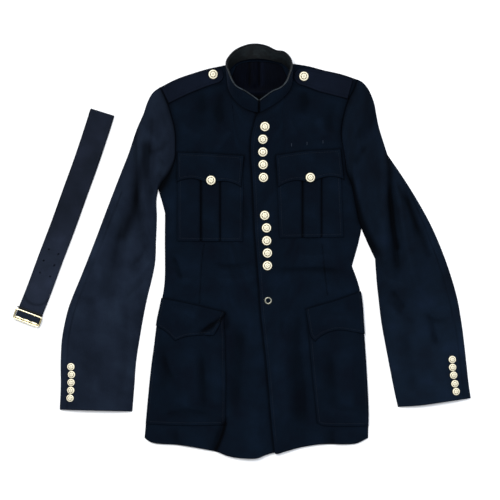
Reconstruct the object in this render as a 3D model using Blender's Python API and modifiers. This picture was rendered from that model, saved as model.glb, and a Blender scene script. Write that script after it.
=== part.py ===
"""A dress uniform jacket with its belt, laid flat on its back.

+X is the wearer's left, +Y runs from the hem to the collar and +Z is up. The origin is on the
underside of the back panel, at the middle of the jacket. Every table below is in millimetres.
"""

import math

import bmesh
import bpy
from mathutils import Vector

MM = 0.001

# Cloth walls and the gaps between them
BACK_WALL = 2.4
FRONT_WALL = 2.6
SLEEVE_WALL = 2.2
PATCH_WALL = 2.2
STRAP_WALL = 2.6
COLLAR_WALL = 2.0
LEATHER_WALL = 1.2
LINING_WALL = 0.8
BELT_WALL = 2.8
GAP = 0.3
PATCH_GAP = 0.5
FLAP_GAP = 0.7
LEATHER_GAP = 0.9
BINDING_GAP = 0.7
SEAT_GAP = 1.5
OVERLAP_GAP = 0.6
SEAM = 2.1

# Outline of the body, each stretch smooth from end to end, as (x, y)
RIGHT_SIDE = [
    [
        (-229.0, -372.0), (-222.6, -300.0), (-216.2, -236.0), (-209.8, -188.0), (-203.8, -140.0),
        (-197.2, -108.0), (-191.0, -76.0), (-188.4, -44.0), (-188.6, 20.0), (-188.2, 78.0),
    ],
    [(-188.2, 78.0), (-194.0, 100.0), (-201.0, 126.0)],
]
RIGHT_ARMHOLE = [
    [
        (-201.0, 126.0), (-194.2, 138.0), (-180.0, 157.0), (-168.8, 182.6), (-167.0, 214.4),
        (-168.0, 240.0), (-173.4, 265.4), (-183.0, 296.4), (-197.0, 330.0),
    ]
]
LEFT_SIDE = [
    [
        (218.4, -372.0), (219.0, -316.0), (215.2, -236.0), (212.0, -188.0), (209.2, -148.0),
        (204.8, -92.0), (197.6, -60.0), (186.0, -28.0),
    ],
    [(186.0, -28.0), (190.4, -12.0), (199.4, 20.0), (204.4, 48.0)],
]
LEFT_CONTACT = [[(204.4, 48.0), (198.0, 71.0), (191.6, 106.0), (185.2, 138.0)]]
LEFT_ARMHOLE = [
    [
        (185.2, 138.0), (177.2, 157.0), (172.4, 188.8), (167.0, 220.8), (165.0, 244.0),
        (169.2, 272.0), (178.8, 303.8), (190.0, 326.0), (197.0, 345.0),
    ]
]
RIGHT_SHOULDER = [[(-197.0, 330.0), (-160.4, 348.0), (-110.2, 364.0), (-63.0, 375.0)]]
LEFT_SHOULDER = [[(66.0, 377.0), (98.8, 372.0), (128.8, 364.0), (164.4, 356.0), (197.0, 345.0)]]
BACK_NECKLINE = [[(-63.0, 375.0), (-42.0, 384.5), (-5.0, 389.0), (29.0, 386.5), (66.0, 377.0)]]
BACK_HEM = [[(218.4, -372.0), (150.0, -377.0), (0.0, -384.0), (-150.0, -378.0), (-229.0, -372.0)]]

# Neck, front and hem edges of the two fronts
RIGHT_NECKLINE = [
    [(-63.0, 375.0), (-61.0, 362.0)],
    [(-61.0, 362.0), (-60.5, 345.0), (-57.5, 325.0), (-48.5, 309.0), (-33.5, 293.5), (-15.0, 284.5),
     (4.0, 280.0), (20.0, 274.0)],
]
LEFT_NECKLINE = [
    [(-5.0, 274.0), (2.0, 280.5), (13.0, 287.0), (28.0, 296.5), (43.0, 307.5), (57.5, 325.0),
     (64.0, 348.0)],
    [(64.0, 348.0), (66.0, 377.0)],
]
RIGHT_FRONT_EDGE = [
    [(50.0, -398.0), (44.0, -278.0), (34.0, -170.0), (28.0, -60.0), (22.0, 60.0), (20.0, 180.0),
     (20.0, 274.0)]
]
LEFT_FRONT_EDGE = [
    [
        (31.0, -402.0), (24.2, -338.6), (14.6, -227.0), (3.4, -125.0), (-2.8, -35.8), (-9.2, 44.0),
        (-13.2, 140.0), (-16.6, 188.8), (-16.6, 220.8), (-13.5, 243.0), (-5.0, 274.0),
    ]
]
RIGHT_HEM = [
    [
        (-229.0, -372.0), (-217.6, -380.0), (-201.0, -384.0), (-165.0, -386.0), (-122.6, -392.4),
        (-83.4, -400.4), (-66.6, -407.0), (-44.0, -411.8), (-7.6, -413.4), (12.0, -407.0),
        (26.0, -402.5), (50.0, -398.0),
    ]
]
LEFT_HEM = [
    [
        (31.0, -402.0), (37.0, -404.0), (62.6, -396.4), (90.6, -389.6), (127.0, -384.8),
        (174.8, -385.0), (197.2, -382.4), (218.4, -372.0),
    ]
]

# Sleeve outlines, outer and inner edges from the cuff up
RIGHT_SLEEVE_OUTER = [
    [
        (-399.0, -315.5), (-397.0, -268.0), (-397.2, -220.0), (-394.4, -172.0), (-384.8, -124.0),
        (-374.2, -92.0), (-354.4, -44.0), (-329.2, 20.0), (-305.0, 84.0), (-280.4, 148.0),
        (-261.4, 196.0), (-245.2, 244.0), (-231.4, 276.0), (-223.2, 300.0), (-213.0, 318.5),
        (-197.7, 330.5),
    ]
]
RIGHT_SLEEVE_INNER = [
    [
        (-253.6, -319.0), (-249.6, -268.0), (-246.0, -220.0), (-238.8, -172.0), (-230.4, -124.0),
        (-223.8, -92.0), (-209.2, -28.0), (-206.8, 20.0), (-205.4, 68.0), (-206.6, 100.0),
        (-202.6, 126.0),
    ]
]
RIGHT_CUFF = [[(-399.0, -315.5), (-253.6, -319.0)]]
LEFT_SLEEVE_OUTER = [
    [
        (424.0, -292.4), (420.2, -268.0), (416.6, -236.0), (411.4, -188.0), (405.2, -140.0),
        (396.6, -92.0), (383.0, -44.0), (365.8, 4.0), (345.0, 52.0), (319.0, 100.0),
        (289.2, 148.0), (257.0, 195.0),
    ],
    [
        (257.0, 195.0), (246.4, 228.0), (239.2, 252.0), (234.4, 276.0), (229.8, 300.0),
        (219.5, 325.0), (208.4, 339.0), (197.7, 345.5),
    ],
]
LEFT_SLEEVE_INNER = [
    [
        (278.0, -310.0), (268.8, -268.0), (253.4, -188.0), (244.8, -140.0), (239.0, -92.0),
        (235.6, -60.0), (232.4, -14.0),
    ],
    [(232.4, -14.0), (216.4, 20.0), (205.1, 48.0)],
    [(205.1, 48.0), (198.7, 71.0), (192.3, 106.0), (185.9, 138.0)],
]
LEFT_CUFF = [[(424.0, -292.4), (369.0, -300.4), (322.0, -307.0), (278.0, -310.0)]]

# How far the fronts stand above where they would lie flat, at each height of the body
CROWN = [
    ("y", "rise"),
    (-410.0, 2.0), (-250.0, 2.5), (-60.0, 2.5), (80.0, 4.0), (230.0, 5.5), (330.0, 5.0), (390.0, 4.0),
]
SHOULDER_TOP = [
    (-197.0, 330.0), (-110.2, 364.0), (-63.0, 375.0), (0.0, 392.0), (66.0, 377.0),
    (128.8, 364.0), (197.0, 345.0),
]
SHOULDER_FALL = 85.0
NECK_RISE = {"height": 8.5, "y": 285.0, "half_x": 85.0, "half_y": 75.0}

# Largest soft folds: a ridge or, with a negative rise, a trough along a line
FRONT_FOLDS = [
    ("x0", "y0", "x1", "y1", "half_width", "rise"),
    (-28.0, -350.0, -18.0, -412.0, 34.0, 5.5),
    (-176.0, -8.0, -146.0, -58.0, 15.0, 2.2),
    (78.0, -140.0, 82.0, -300.0, 18.0, 2.0),
    (40.0, -62.0, 176.0, -34.0, 16.0, 1.6),
    (-150.0, 262.0, -136.0, 318.0, 22.0, 1.6),
    (140.0, 250.0, 132.0, 306.0, 22.0, 1.6),
]
RIGHT_SLEEVE_FOLDS = [
    ("x0", "y0", "x1", "y1", "half_width", "rise"),
    (-234.0, 250.0, -229.0, 20.0, 11.0, 5.0),
    (-246.0, 200.0, -243.0, 50.0, 11.0, -4.2),
    (-262.0, 94.0, -309.0, -90.0, 17.0, -3.4),
    (-284.0, 110.0, -352.0, -60.0, 17.0, 2.6),
    (-266.0, -60.0, -268.0, -180.0, 14.0, -2.4),
    (-330.0, -190.0, -318.0, -290.0, 22.0, 1.6),
]
LEFT_SLEEVE_FOLDS = [
    ("x0", "y0", "x1", "y1", "half_width", "rise"),
    (247.0, 226.0, 249.0, -16.0, 11.0, 5.0),
    (263.0, 150.0, 282.0, -52.0, 11.0, -5.0),
    (268.0, 166.0, 318.0, -74.0, 10.0, 4.4),
    (290.0, 130.0, 318.0, 30.0, 12.0, -3.2),
    (346.0, -130.0, 358.0, -186.0, 12.0, -3.0),
    (276.0, -84.0, 300.0, -190.0, 16.0, -2.4),
    (322.0, -96.0, 366.0, -150.0, 13.0, 2.6),
]
ARMHOLE_STEPS = 4
UNDERARM_POINTS = 3
SLEEVE_CROWN = 7.5
SLEEVE_EDGE_POWER = 3.4
SLEEVE_FADE = 6.0
SLEEVE_REST = 0.4
SLEEVE_HEAD = {"share": 0.10, "crown_left": 0.25, "folds_left": 0.2}
OVERLAP_FADE = 34.0

# Collar stations from the wearer's right centre front round the back to the left centre front
COLLAR = [
    ("base_x", "base_y", "rim_x", "rim_y", "rim_z"),
    (-0.6, 278.0, -0.6, 299.5, 46.0),
    (-16.0, 281.8, -12.6, 308.5, 45.0),
    (-35.0, 291.0, -29.0, 319.5, 44.0),
    (-50.5, 306.5, -45.0, 328.0, 43.5),
    (-60.0, 323.0, -54.5, 340.0, 43.0),
    (-63.6, 342.0, -62.0, 358.0, 42.5),
    (-63.6, 358.0, -66.4, 372.0, 41.0),
    (-57.5, 370.0, -62.5, 385.5, 38.0),
    (-41.0, 381.5, -47.0, 402.0, 34.0),
    (-22.0, 385.6, -24.0, 412.0, 31.5),
    (-3.0, 386.8, -3.0, 413.8, 31.0),
    (16.0, 385.6, 17.0, 409.5, 31.5),
    (32.0, 382.6, 33.5, 401.5, 33.0),
    (47.0, 378.0, 50.0, 398.5, 35.0),
    (59.5, 369.0, 62.5, 386.5, 38.5),
    (66.0, 356.0, 66.6, 371.0, 41.0),
    (66.6, 340.0, 61.5, 352.0, 42.5),
    (60.5, 323.0, 55.0, 337.0, 43.0),
    (45.5, 305.2, 43.0, 325.5, 43.5),
    (29.0, 294.0, 27.0, 318.5, 44.0),
    (13.0, 284.6, 12.0, 308.0, 45.0),
    (0.6, 278.0, 0.6, 299.5, 46.0),
]
COLLAR_STEPS = 2
BINDING = {"width": 4.2, "height": 1.8}

# Patches on the fronts, each with its corners and edges
CHEST_POCKETS = {
    "right": {
        "flap_top": [(-163.4, 200.0), (-100.0, 197.5), (-30.0, 192.8)],
        "flap_bottom": [(-164.0, 139.4), (-35.4, 129.0)],
        "pocket_top": [(-162.6, 193.0), (-31.4, 186.0)],
        "pocket_bottom": [(-163.6, 22.0), (-32.4, 21.0)],
        "pleat": (0.355, 0.645),
        "button": (-96.0, 143.2),
    },
    "left": {
        "flap_top": [(33.0, 193.6), (96.0, 202.5), (163.2, 206.4)],
        "flap_bottom": [(37.6, 129.0), (169.8, 144.8)],
        "pocket_top": [(34.6, 186.5), (162.2, 199.0)],
        "pocket_bottom": [(41.0, 28.0), (169.4, 30.0)],
        "pleat": (0.362, 0.655),
        "button": (102.4, 149.0),
    },
}
SCALLOP = 9.5
PLEAT_RISE = 2.0
PLEAT_REACH = 0.12
PLEAT_SLOPE = 0.09
LOWER_POCKETS = {
    "right": {
        "side_y": (-344.0, -98.0),
        "top": [(-196.0, -98.0), (-130.0, -112.0), (-69.5, -128.0)],
        "inner": [(-67.0, -346.0), (-66.6, -243.0), (-69.5, -128.0)],
        "bottom": [(-226.0, -344.0), (-150.0, -347.0), (-67.0, -346.0)],
        "flap_top": [(-194.8, -91.6), (-130.0, -104.5), (-66.6, -120.2)],
        "flap_side_y": (-147.0, -91.6),
        "flap_bottom": [
            [(-205.2, -147.0), (-184.6, -160.0), (-167.2, -177.6)],
            [(-167.2, -177.6), (-146.4, -169.6), (-114.6, -166.4), (-90.6, -166.8)],
        ],
        "flap_inner": [(-90.6, -166.8), (-78.0, -144.0), (-66.6, -120.2)],
    },
    "left": {
        "side_y": (-348.0, -86.0),
        "top": [(96.0, -122.0), (150.0, -106.0), (204.0, -86.0)],
        "inner": [(117.0, -342.0), (110.4, -281.2), (102.4, -200.0), (96.0, -122.0)],
        "bottom": [(117.0, -342.0), (130.0, -347.5), (170.0, -349.0), (219.0, -348.0)],
        "flap_top": [(92.8, -113.8), (150.0, -97.0), (203.0, -78.0)],
        "flap_side_y": (-164.0, -78.0),
        "flap_bottom": [
            [(112.0, -179.2), (124.6, -168.0), (140.6, -160.0), (163.0, -156.2), (210.8, -164.0)],
        ],
        "flap_inner": [(112.0, -179.2), (102.4, -167.0), (96.0, -134.6), (92.8, -113.8)],
    },
}
LOWER_PUFF = 1.6

# Shoulder straps from the sleeve seam to the round end: centre line and half width
SHOULDER_STRAPS = {
    "right": [
        ("x", "y", "half_width"),
        (-188.6, 313.4, 18.0), (-156.0, 329.5, 18.6), (-124.0, 341.8, 17.6), (-98.6, 350.2, 16.6),
        (-71.5, 357.0, 15.6),
    ],
    "left": [
        ("x", "y", "half_width"),
        (183.0, 326.0, 20.6), (154.0, 334.2, 21.6), (124.6, 342.0, 22.0), (98.0, 348.6, 18.8),
        (70.4, 353.4, 16.0),
    ],
}

# Buttons: places in plan
FRONT_BUTTONS = [
    (11.6, 250.6), (7.6, 225.4), (7.6, 200.0), (8.2, 174.6), (8.8, 149.0),
    (11.4, 73.2), (15.0, 48.2), (15.4, 22.6), (16.8, -2.0), (16.8, -27.2),
]
RIGHT_CUFF_BUTTONS = [
    (-375.6, -229.4), (-374.4, -245.0), (-375.2, -260.8), (-375.8, -276.4), (-377.2, -292.0)
]
LEFT_CUFF_BUTTONS = [
    (386.0, -214.8), (386.6, -230.6), (388.6, -246.2), (391.2, -263.2), (393.8, -278.8)
]
SHOULDER_BUTTONS = {"right": (-91.6, 355.0), "left": (89.6, 351.0)}
LARGE_BUTTON = {"radius": 9.5, "dome": 5.2, "shank": 1.1}
SMALL_BUTTON = {"radius": 7.6, "dome": 4.4, "shank": 0.9}
EYELET = {"place": (18.4, -97.2), "outer": 7.4, "inner": 4.4, "height": 1.8}

# The belt, folded in half with its buckle at the open end
BELT_LINE = [
    (-313.2, 280.2), (-324.6, 244.0), (-346.0, 180.0), (-369.2, 116.0), (-392.2, 52.0),
    (-416.6, -12.0), (-440.2, -76.0), (-455.6, -115.0), (-465.4, -140.0),
]
BELT_HALF_WIDTH = 25.0
BUCKLE = {
    "x": -463.0, "y": -131.5, "turn": -20.5, "width": 57.0, "height": 23.0, "wire": 1.7,
    "corner": 4.0,
}
KEEPER = {"radius": 1.3, "away": 1.2, "over": 0.5}
KNUCKLE = {"radius": 2.3, "length": 11.0, "spacing": 16.5, "lift": 0.9}

WOOL = ("wool_serge", (0.010, 0.016, 0.027), 0.92, 0.0)
LEATHER = ("collar_leather", (0.012, 0.016, 0.015), 0.55, 0.0)
SATIN = ("back_lining", (0.006, 0.008, 0.018), 0.5, 0.0)
SILVER = ("button_metal", (0.80, 0.76, 0.62), 0.25, 1.0)
GILT = ("buckle_gilt", (0.83, 0.68, 0.34), 0.22, 1.0)
BLACK = ("keeper_black", (0.01, 0.01, 0.011), 0.5, 0.0)


def rows_of(table):
    """The rows of a table, without its row of column names."""
    return table[1:]


def clamp(value):
    return max(0.0, min(1.0, value))


def ease(value):
    """0 to 1 with a soft start and end."""
    t = clamp(value)
    return t * t * (3.0 - 2.0 * t)


def level_at(table, where):
    """Straight interpolation in a list of (where, value), held at both ends."""
    if where <= table[0][0]:
        return table[0][1]
    for (a, low), (b, high) in zip(table, table[1:]):
        if where <= b:
            return low + (high - low) * (where - a) / (b - a)
    return table[-1][1]


def rounded_run(points, steps=10):
    """A smooth line through the points of one stretch, with its ends kept."""
    if len(points) == 2:
        return [Vector(p) for p in points]
    sized = [Vector(p) for p in points]
    sized = [2 * sized[0] - sized[1]] + sized + [2 * sized[-1] - sized[-2]]
    line = [sized[1]]
    for p0, p1, p2, p3 in zip(sized, sized[1:], sized[2:], sized[3:]):
        for step in range(1, steps + 1):
            t = step / steps
            line.append(
                0.5 * (2 * p1 + (p2 - p0) * t + (2 * p0 - 5 * p1 + 4 * p2 - p3) * t * t
                       + (3 * p1 - p0 - 3 * p2 + p3) * t ** 3)
            )
    return line


def edge(stretches):
    """A function from 0..1 to the point at that share of the edge's length."""
    line = []
    for stretch in stretches:
        line += rounded_run(stretch)[1 if line else 0:]
    marks = [0.0]
    for a, b in zip(line, line[1:]):
        marks.append(marks[-1] + (b - a).length)

    def place(share):
        want = clamp(share) * marks[-1]
        for i in range(1, len(marks)):
            if want <= marks[i] or i == len(marks) - 1:
                span = marks[i] - marks[i - 1]
                return line[i - 1].lerp(line[i], clamp((want - marks[i - 1]) / span))

    return place


def patch(bottom, top, start, end):
    """A function (u, v) to a point of the surface that fills four edges."""

    def place(u, v):
        b, t, s, e = bottom(u), top(u), start(v), end(v)
        corners = (
            bottom(0).lerp(bottom(1), u) * (1 - v) + top(0).lerp(top(1), u) * v
        )
        return b * (1 - v) + t * v + s * (1 - u) + e * u - corners

    return place


def backwards(stretches):
    return [stretch[::-1] for stretch in reversed(stretches)]


def side_profile(stretches):
    """The x of a side for each y, as a list of (y, x) sorted by y."""
    points = []
    for stretch in stretches:
        points += [(p.y, p.x) for p in rounded_run(stretch)]
    return sorted(points)


RIGHT_PROFILE = side_profile(RIGHT_SIDE + RIGHT_ARMHOLE)
LEFT_PROFILE = side_profile(LEFT_SIDE + LEFT_CONTACT + LEFT_ARMHOLE)


def fold_rise(folds, x, y):
    """The rise of all soft folds of a table at a point."""
    total = 0.0
    for x0, y0, x1, y1, half_width, rise in rows_of(folds):
        run = Vector((x1 - x0, y1 - y0))
        rel = Vector((x - x0, y - y0))
        share = clamp(rel.dot(run) / run.length_squared)
        away = (rel - run * share).length
        total += rise * math.exp(-((away / half_width) ** 2))
    return total


def front_top(x, y):
    """Height of the outer face of a front that lies on the back alone."""
    right, left = level_at(RIGHT_PROFILE, y), level_at(LEFT_PROFILE, y)
    across = clamp((x - right) / (left - right))
    crown = level_at(rows_of(CROWN), y) * (1.0 - abs(2.0 * across - 1.0) ** 4)
    reach = ((x / NECK_RISE["half_x"]) ** 2
             + ((y - NECK_RISE["y"]) / NECK_RISE["half_y"]) ** 2)
    neck = NECK_RISE["height"] * math.exp(-reach)
    inside = min(1.0, (1.0 - abs(2.0 * across - 1.0)) * 4.0)
    folds = fold_rise(FRONT_FOLDS, x, y) * ease(inside)
    fall = ease((level_at(SHOULDER_TOP, x) - y) / SHOULDER_FALL)
    return BACK_WALL + GAP + FRONT_WALL + (crown + neck + folds) * fall


def left_front_top(x, y):
    """Height of the left front, which lies over the right one as far as that one reaches."""
    inner = level_at(INNER_PROFILE, y)
    covered = 1.0 - ease((x - inner - 2.0) / OVERLAP_FADE)
    return front_top(x, y) + (FRONT_WALL + OVERLAP_GAP) * covered


INNER_PROFILE = side_profile(RIGHT_FRONT_EDGE)


def new_object(name, bm, finish):
    mesh = bpy.data.meshes.new(name)
    bmesh.ops.recalc_face_normals(bm, faces=bm.faces)
    bm.to_mesh(mesh)
    bm.free()
    obj = bpy.data.objects.new(name, mesh)
    obj.data.materials.append(material(finish))
    jacket.objects.link(obj)
    return obj


def material(finish):
    name, colour, roughness, metallic = finish
    found = bpy.data.materials.get(name)
    if found:
        return found
    made = bpy.data.materials.new(name)
    made.use_nodes = True
    shader = made.node_tree.nodes["Principled BSDF"]
    shader.inputs["Base Color"].default_value = (*colour, 1.0)
    shader.inputs["Roughness"].default_value = roughness
    shader.inputs["Metallic"].default_value = metallic
    return made


def even(count):
    return [i / count for i in range(count + 1)]


def cloth_wall(name, across, along, plan, under, thickness, finish, raised=None):
    """A closed wall of cloth: a grid laid on the height under(x, y) and thickened upward.

    raised(u, v, x, y) adds to the outer face alone.
    """
    bm = bmesh.new()
    bmesh.ops.create_grid(bm, x_segments=len(across) - 1, y_segments=len(along) - 1, size=0.5)
    shares = bm.verts.layers.float_vector.new("shares")
    for vert in bm.verts:
        u = across[round((vert.co.x + 0.5) * (len(across) - 1))]
        v = along[round((vert.co.y + 0.5) * (len(along) - 1))]
        point = plan(u, v)
        vert[shares] = Vector((u, v, 0.0))
        vert.co = Vector((point.x, point.y, under(point.x, point.y)))
    made = bmesh.ops.extrude_face_region(bm, geom=bm.faces[:])
    for vert in (item for item in made["geom"] if isinstance(item, bmesh.types.BMVert)):
        u, v = vert[shares].x, vert[shares].y
        extra = raised(u, v, vert.co.x, vert.co.y) if raised else 0.0
        vert.co.z += thickness + extra
    bmesh.ops.scale(bm, vec=(MM, MM, MM), verts=bm.verts)
    return new_object(name, bm, finish)


def flat_piece(name, stretches, low, thickness, finish, steps):
    """A flat panel cut to an outline."""
    outline = []
    for stretch, count in zip(stretches, steps):
        place = edge([stretch] if isinstance(stretch[0], tuple) else stretch)
        outline += [place(i / count) for i in range(count)]
    bm = bmesh.new()
    face = bm.faces.new([bm.verts.new((p.x * MM, p.y * MM, low * MM)) for p in outline])
    made = bmesh.ops.extrude_face_region(bm, geom=[face])
    top = [item for item in made["geom"] if isinstance(item, bmesh.types.BMVert)]
    bmesh.ops.translate(bm, vec=(0.0, 0.0, thickness * MM), verts=top)
    return new_object(name, bm, finish)


def build_back():
    flat_piece(
        "back",
        [RIGHT_SIDE, RIGHT_ARMHOLE, RIGHT_SHOULDER, BACK_NECKLINE, LEFT_SHOULDER,
         backwards(LEFT_ARMHOLE), backwards(LEFT_CONTACT), backwards(LEFT_SIDE), BACK_HEM],
        0.0, BACK_WALL, WOOL, [16, 10, 5, 6, 5, 10, 4, 16, 6],
    )
    flat_piece(
        "neck_lining",
        [[(-56.0, 236.0), (-57.0, 300.0), (-55.0, 340.0)],
         [(-55.0, 340.0), (-48.0, 368.0), (-30.0, 379.0), (0.0, 381.0), (30.0, 378.0),
          (48.0, 368.0), (57.0, 340.0)],
         [(57.0, 340.0), (58.0, 300.0), (56.0, 236.0)]],
        BACK_WALL + GAP, LINING_WALL, SATIN, [3, 12, 3],
    )


def build_fronts():
    along = [0.86 * i / 19 for i in range(20)] + [0.86 + 0.14 * i / 6 for i in range(1, 7)]
    right = patch(
        edge(RIGHT_HEM), edge(RIGHT_SHOULDER + RIGHT_NECKLINE),
        edge(RIGHT_SIDE + RIGHT_ARMHOLE), edge(RIGHT_FRONT_EDGE),
    )
    cloth_wall("front_right", even(14), along, right,
               lambda x, y: front_top(x, y) - FRONT_WALL, FRONT_WALL, WOOL)
    left = patch(
        edge(LEFT_HEM), edge(LEFT_NECKLINE + LEFT_SHOULDER),
        edge(LEFT_FRONT_EDGE), edge(LEFT_SIDE + LEFT_CONTACT + LEFT_ARMHOLE),
    )
    cloth_wall("front_left", even(14), along, left,
               lambda x, y: left_front_top(x, y) - FRONT_WALL, FRONT_WALL, WOOL)


def sleeve_arch(folds, u, v, x, y):
    """How far an upper sleeve arches over the under sleeve, at its shares and its place."""
    rounding = 1.0 - abs(2.0 * u - 1.0) ** SLEEVE_EDGE_POWER
    head = ease((1.0 - v) / SLEEVE_HEAD["share"])
    crown_left, folds_left = SLEEVE_HEAD["crown_left"], SLEEVE_HEAD["folds_left"]
    crown = SLEEVE_CROWN * rounding * (crown_left + (1.0 - crown_left) * head)
    fade = ease(min(u, 1.0 - u) * SLEEVE_FADE) * (folds_left + (1.0 - folds_left) * head)
    return crown + fold_rise(folds, x, y) * fade


def split_armhole(stretches, dx):
    """The armhole, moved by dx, as its stretch under the arm and its stretch up to the shoulder."""
    (points,) = stretches
    line = [(p.x + dx, p.y) for p in rounded_run(points, ARMHOLE_STEPS)]
    cut = UNDERARM_POINTS * ARMHOLE_STEPS
    return [line[:cut + 1]], [line[cut:]]


def build_sleeve(side, outer, inner, cuff, armhole, folds):
    """The under sleeve lies flat on the floor, and the top sleeve lies on it."""
    underarm, head = armhole
    flat_piece(
        f"under_sleeve_{side}",
        [cuff, inner, underarm, head, backwards(outer)],
        0.0, SLEEVE_WALL, WOOL, [2, 16, 4, 7, 16],
    )
    if side == "right":
        start, end, low, high = outer, inner + underarm, cuff, backwards(head)
    else:
        start, end, low, high = inner + underarm, outer, backwards(cuff), head
    plan = patch(edge(low), edge(high), edge(start), edge(end))
    sleeve = cloth_wall(f"top_sleeve_{side}", even(14), even(27), plan,
                        lambda x, y: SLEEVE_WALL + SLEEVE_REST, SLEEVE_WALL, WOOL)
    shares = sleeve.data.attributes["shares"]
    for vert, kept in zip(sleeve.data.vertices, shares.data):
        u, v = kept.vector[0], kept.vector[1]
        vert.co.z += sleeve_arch(folds, u, v, vert.co.x / MM, vert.co.y / MM) * MM


def build_sleeves():
    build_sleeve("right", RIGHT_SLEEVE_OUTER, RIGHT_SLEEVE_INNER, RIGHT_CUFF,
                 split_armhole(RIGHT_ARMHOLE, -SEAM), RIGHT_SLEEVE_FOLDS)
    build_sleeve("left", LEFT_SLEEVE_OUTER, LEFT_SLEEVE_INNER, LEFT_CUFF,
                 split_armhole(LEFT_ARMHOLE, SEAM), LEFT_SLEEVE_FOLDS)


def collar_line():
    """Smooth collar stations: lists of base and rim points."""
    rows = rows_of(COLLAR)
    flat_base = rounded_run([row[0:2] for row in rows], COLLAR_STEPS)
    rim = rounded_run([row[2:5] for row in rows], COLLAR_STEPS)
    base = [Vector((p.x, p.y, neck_seat(p))) for p in flat_base]
    smooth = [base[0]]
    for a, b, c in zip(base, base[1:], base[2:]):
        smooth.append(Vector((b.x, b.y, max(b.z, (a.z + b.z + c.z) / 3))))
    return smooth + [base[-1]], rim


def neck_seat(place):
    """The height at which the collar's lower edge clears the cloth under it."""
    centre = Vector((0.0, 345.0))
    highest = BACK_WALL + GAP
    for set_in in (-1.0, 2.0, 5.0):
        point = place + (centre - place).normalized() * set_in
        if point.y < level_at(SHOULDER_TOP, point.x) + 3.0:
            top = left_front_top if point.x > -20.0 else front_top
            highest = max(highest, top(point.x, point.y))
    return highest + SEAT_GAP


def inward(base, rim, index):
    """Unit vector from the collar's outer face towards the neck, at a station."""
    last = len(base) - 1
    tangent = (base[min(index + 1, last)] - base[max(index - 1, 0)]
               + rim[min(index + 1, last)] - rim[max(index - 1, 0)])
    rise = rim[index] - base[index]
    return tangent.cross(rise).normalized()


def collar_band(name, depth, wall, finish, low=0.0, high=1.0):
    """A loft from base to rim, set in by depth and thickened towards the neck."""
    base, rim = collar_line()
    bm = bmesh.new()
    bmesh.ops.create_grid(bm, x_segments=len(base) - 1, y_segments=2, size=0.5)
    station = bm.verts.layers.int.new("station")
    for vert in bm.verts:
        index = round((vert.co.x + 0.5) * (len(base) - 1))
        share = low + (high - low) * (vert.co.y + 0.5)
        vert[station] = index
        vert.co = base[index].lerp(rim[index], share) + inward(base, rim, index) * depth
    made = bmesh.ops.extrude_face_region(bm, geom=bm.faces[:])
    for vert in (item for item in made["geom"] if isinstance(item, bmesh.types.BMVert)):
        vert.co += inward(base, rim, vert[station]) * wall
    bmesh.ops.scale(bm, vec=(MM, MM, MM), verts=bm.verts)
    return new_object(name, bm, finish)


def build_collar():
    collar_band("collar", 0.0, COLLAR_WALL, WOOL)
    collar_band("collar_lining", COLLAR_WALL + LEATHER_GAP, LEATHER_WALL, LEATHER, low=0.06)
    base, rim = collar_line()
    bm = bmesh.new()
    bmesh.ops.create_grid(bm, x_segments=len(base) - 1, y_segments=1, size=0.5)
    for vert in bm.verts:
        index = round((vert.co.x + 0.5) * (len(base) - 1))
        up = (rim[index] - base[index]).normalized()
        shift = inward(base, rim, index) * (-0.4 + (vert.co.y + 0.5) * BINDING["width"])
        vert.co = (rim[index] + up * BINDING_GAP + shift) * MM
    binding = new_object("collar_binding", bm, LEATHER)
    wall = binding.modifiers.new("wall", "SOLIDIFY")
    wall.thickness = BINDING["height"] * MM
    wall.offset = 1.0 if binding.data.polygons[0].normal.z > 0 else -1.0


def side_x(side, y):
    return level_at(RIGHT_PROFILE if side == "right" else LEFT_PROFILE, y)


def front_under(side):
    """The height that a patch on this front rests at."""
    top = front_top if side == "right" else left_front_top
    return lambda x, y: top(x, y) + PATCH_GAP


def straight(a, b):
    return edge([[a, b]])


def scalloped(points):
    """A flap's lower edge: three points with an arch between each two."""
    a, b = Vector(points[0]), Vector(points[1])
    return lambda u: a.lerp(b, u) + Vector((0.0, SCALLOP * abs(math.sin(2.0 * math.pi * u)) ** 0.8))


def pleat_stations(pleat):
    """Shares across a chest pocket, with a near pair at each edge of its box pleat."""
    left, right = pleat
    step = 0.005
    return [0.0, left / 2, left - step, left, (left + right) / 2, right, right + step,
            (1 + right) / 2, 1.0]


def build_chest_pocket(side, data):
    under = front_under(side)
    left, right = data["pleat"]
    pocket = patch(
        straight(*data["pocket_bottom"]), straight(*data["pocket_top"]),
        straight(data["pocket_bottom"][0], data["pocket_top"][0]),
        straight(data["pocket_bottom"][1], data["pocket_top"][1]),
    )
    cloth_wall(
        f"chest_pocket_{side}", pleat_stations(data["pleat"]), even(7), pocket, under,
        PATCH_WALL, WOOL,
        raised=lambda u, v, x, y: PLEAT_RISE if left - 0.001 <= u <= right + 0.001 else 0.0,
    )
    flap = patch(
        scalloped(data["flap_bottom"]), edge([data["flap_top"]]),
        straight(data["flap_bottom"][0], data["flap_top"][0]),
        straight(data["flap_bottom"][1], data["flap_top"][-1]),
    )
    cover = flap_cover(side, data)
    cloth_wall(f"chest_flap_{side}", even(20), even(4), flap, cover, PATCH_WALL, WOOL)


def flap_cover(side, data):
    """The height under a chest flap: over the pocket, with a soft rise over its pleat."""
    under = front_under(side)
    left, right = data["pleat"]
    x0, x1 = data["pocket_top"][0][0], data["pocket_top"][1][0]

    def height(x, y):
        u = (x - x0) / (x1 - x0)
        near = (ease((u - left + PLEAT_REACH) / PLEAT_SLOPE)
                * ease((right + PLEAT_REACH - u) / PLEAT_SLOPE))
        return under(x, y) + PATCH_WALL + FLAP_GAP + PLEAT_RISE * near

    return height


def side_line(side, low, high, overhang):
    """The silhouette between two heights, pushed out a little."""
    sign = -1.0 if side == "right" else 1.0
    count = 8
    heights = [low + (high - low) * i / count for i in range(count + 1)]
    return edge([[(side_x(side, y) + sign * overhang, y) for y in heights]])


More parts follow.
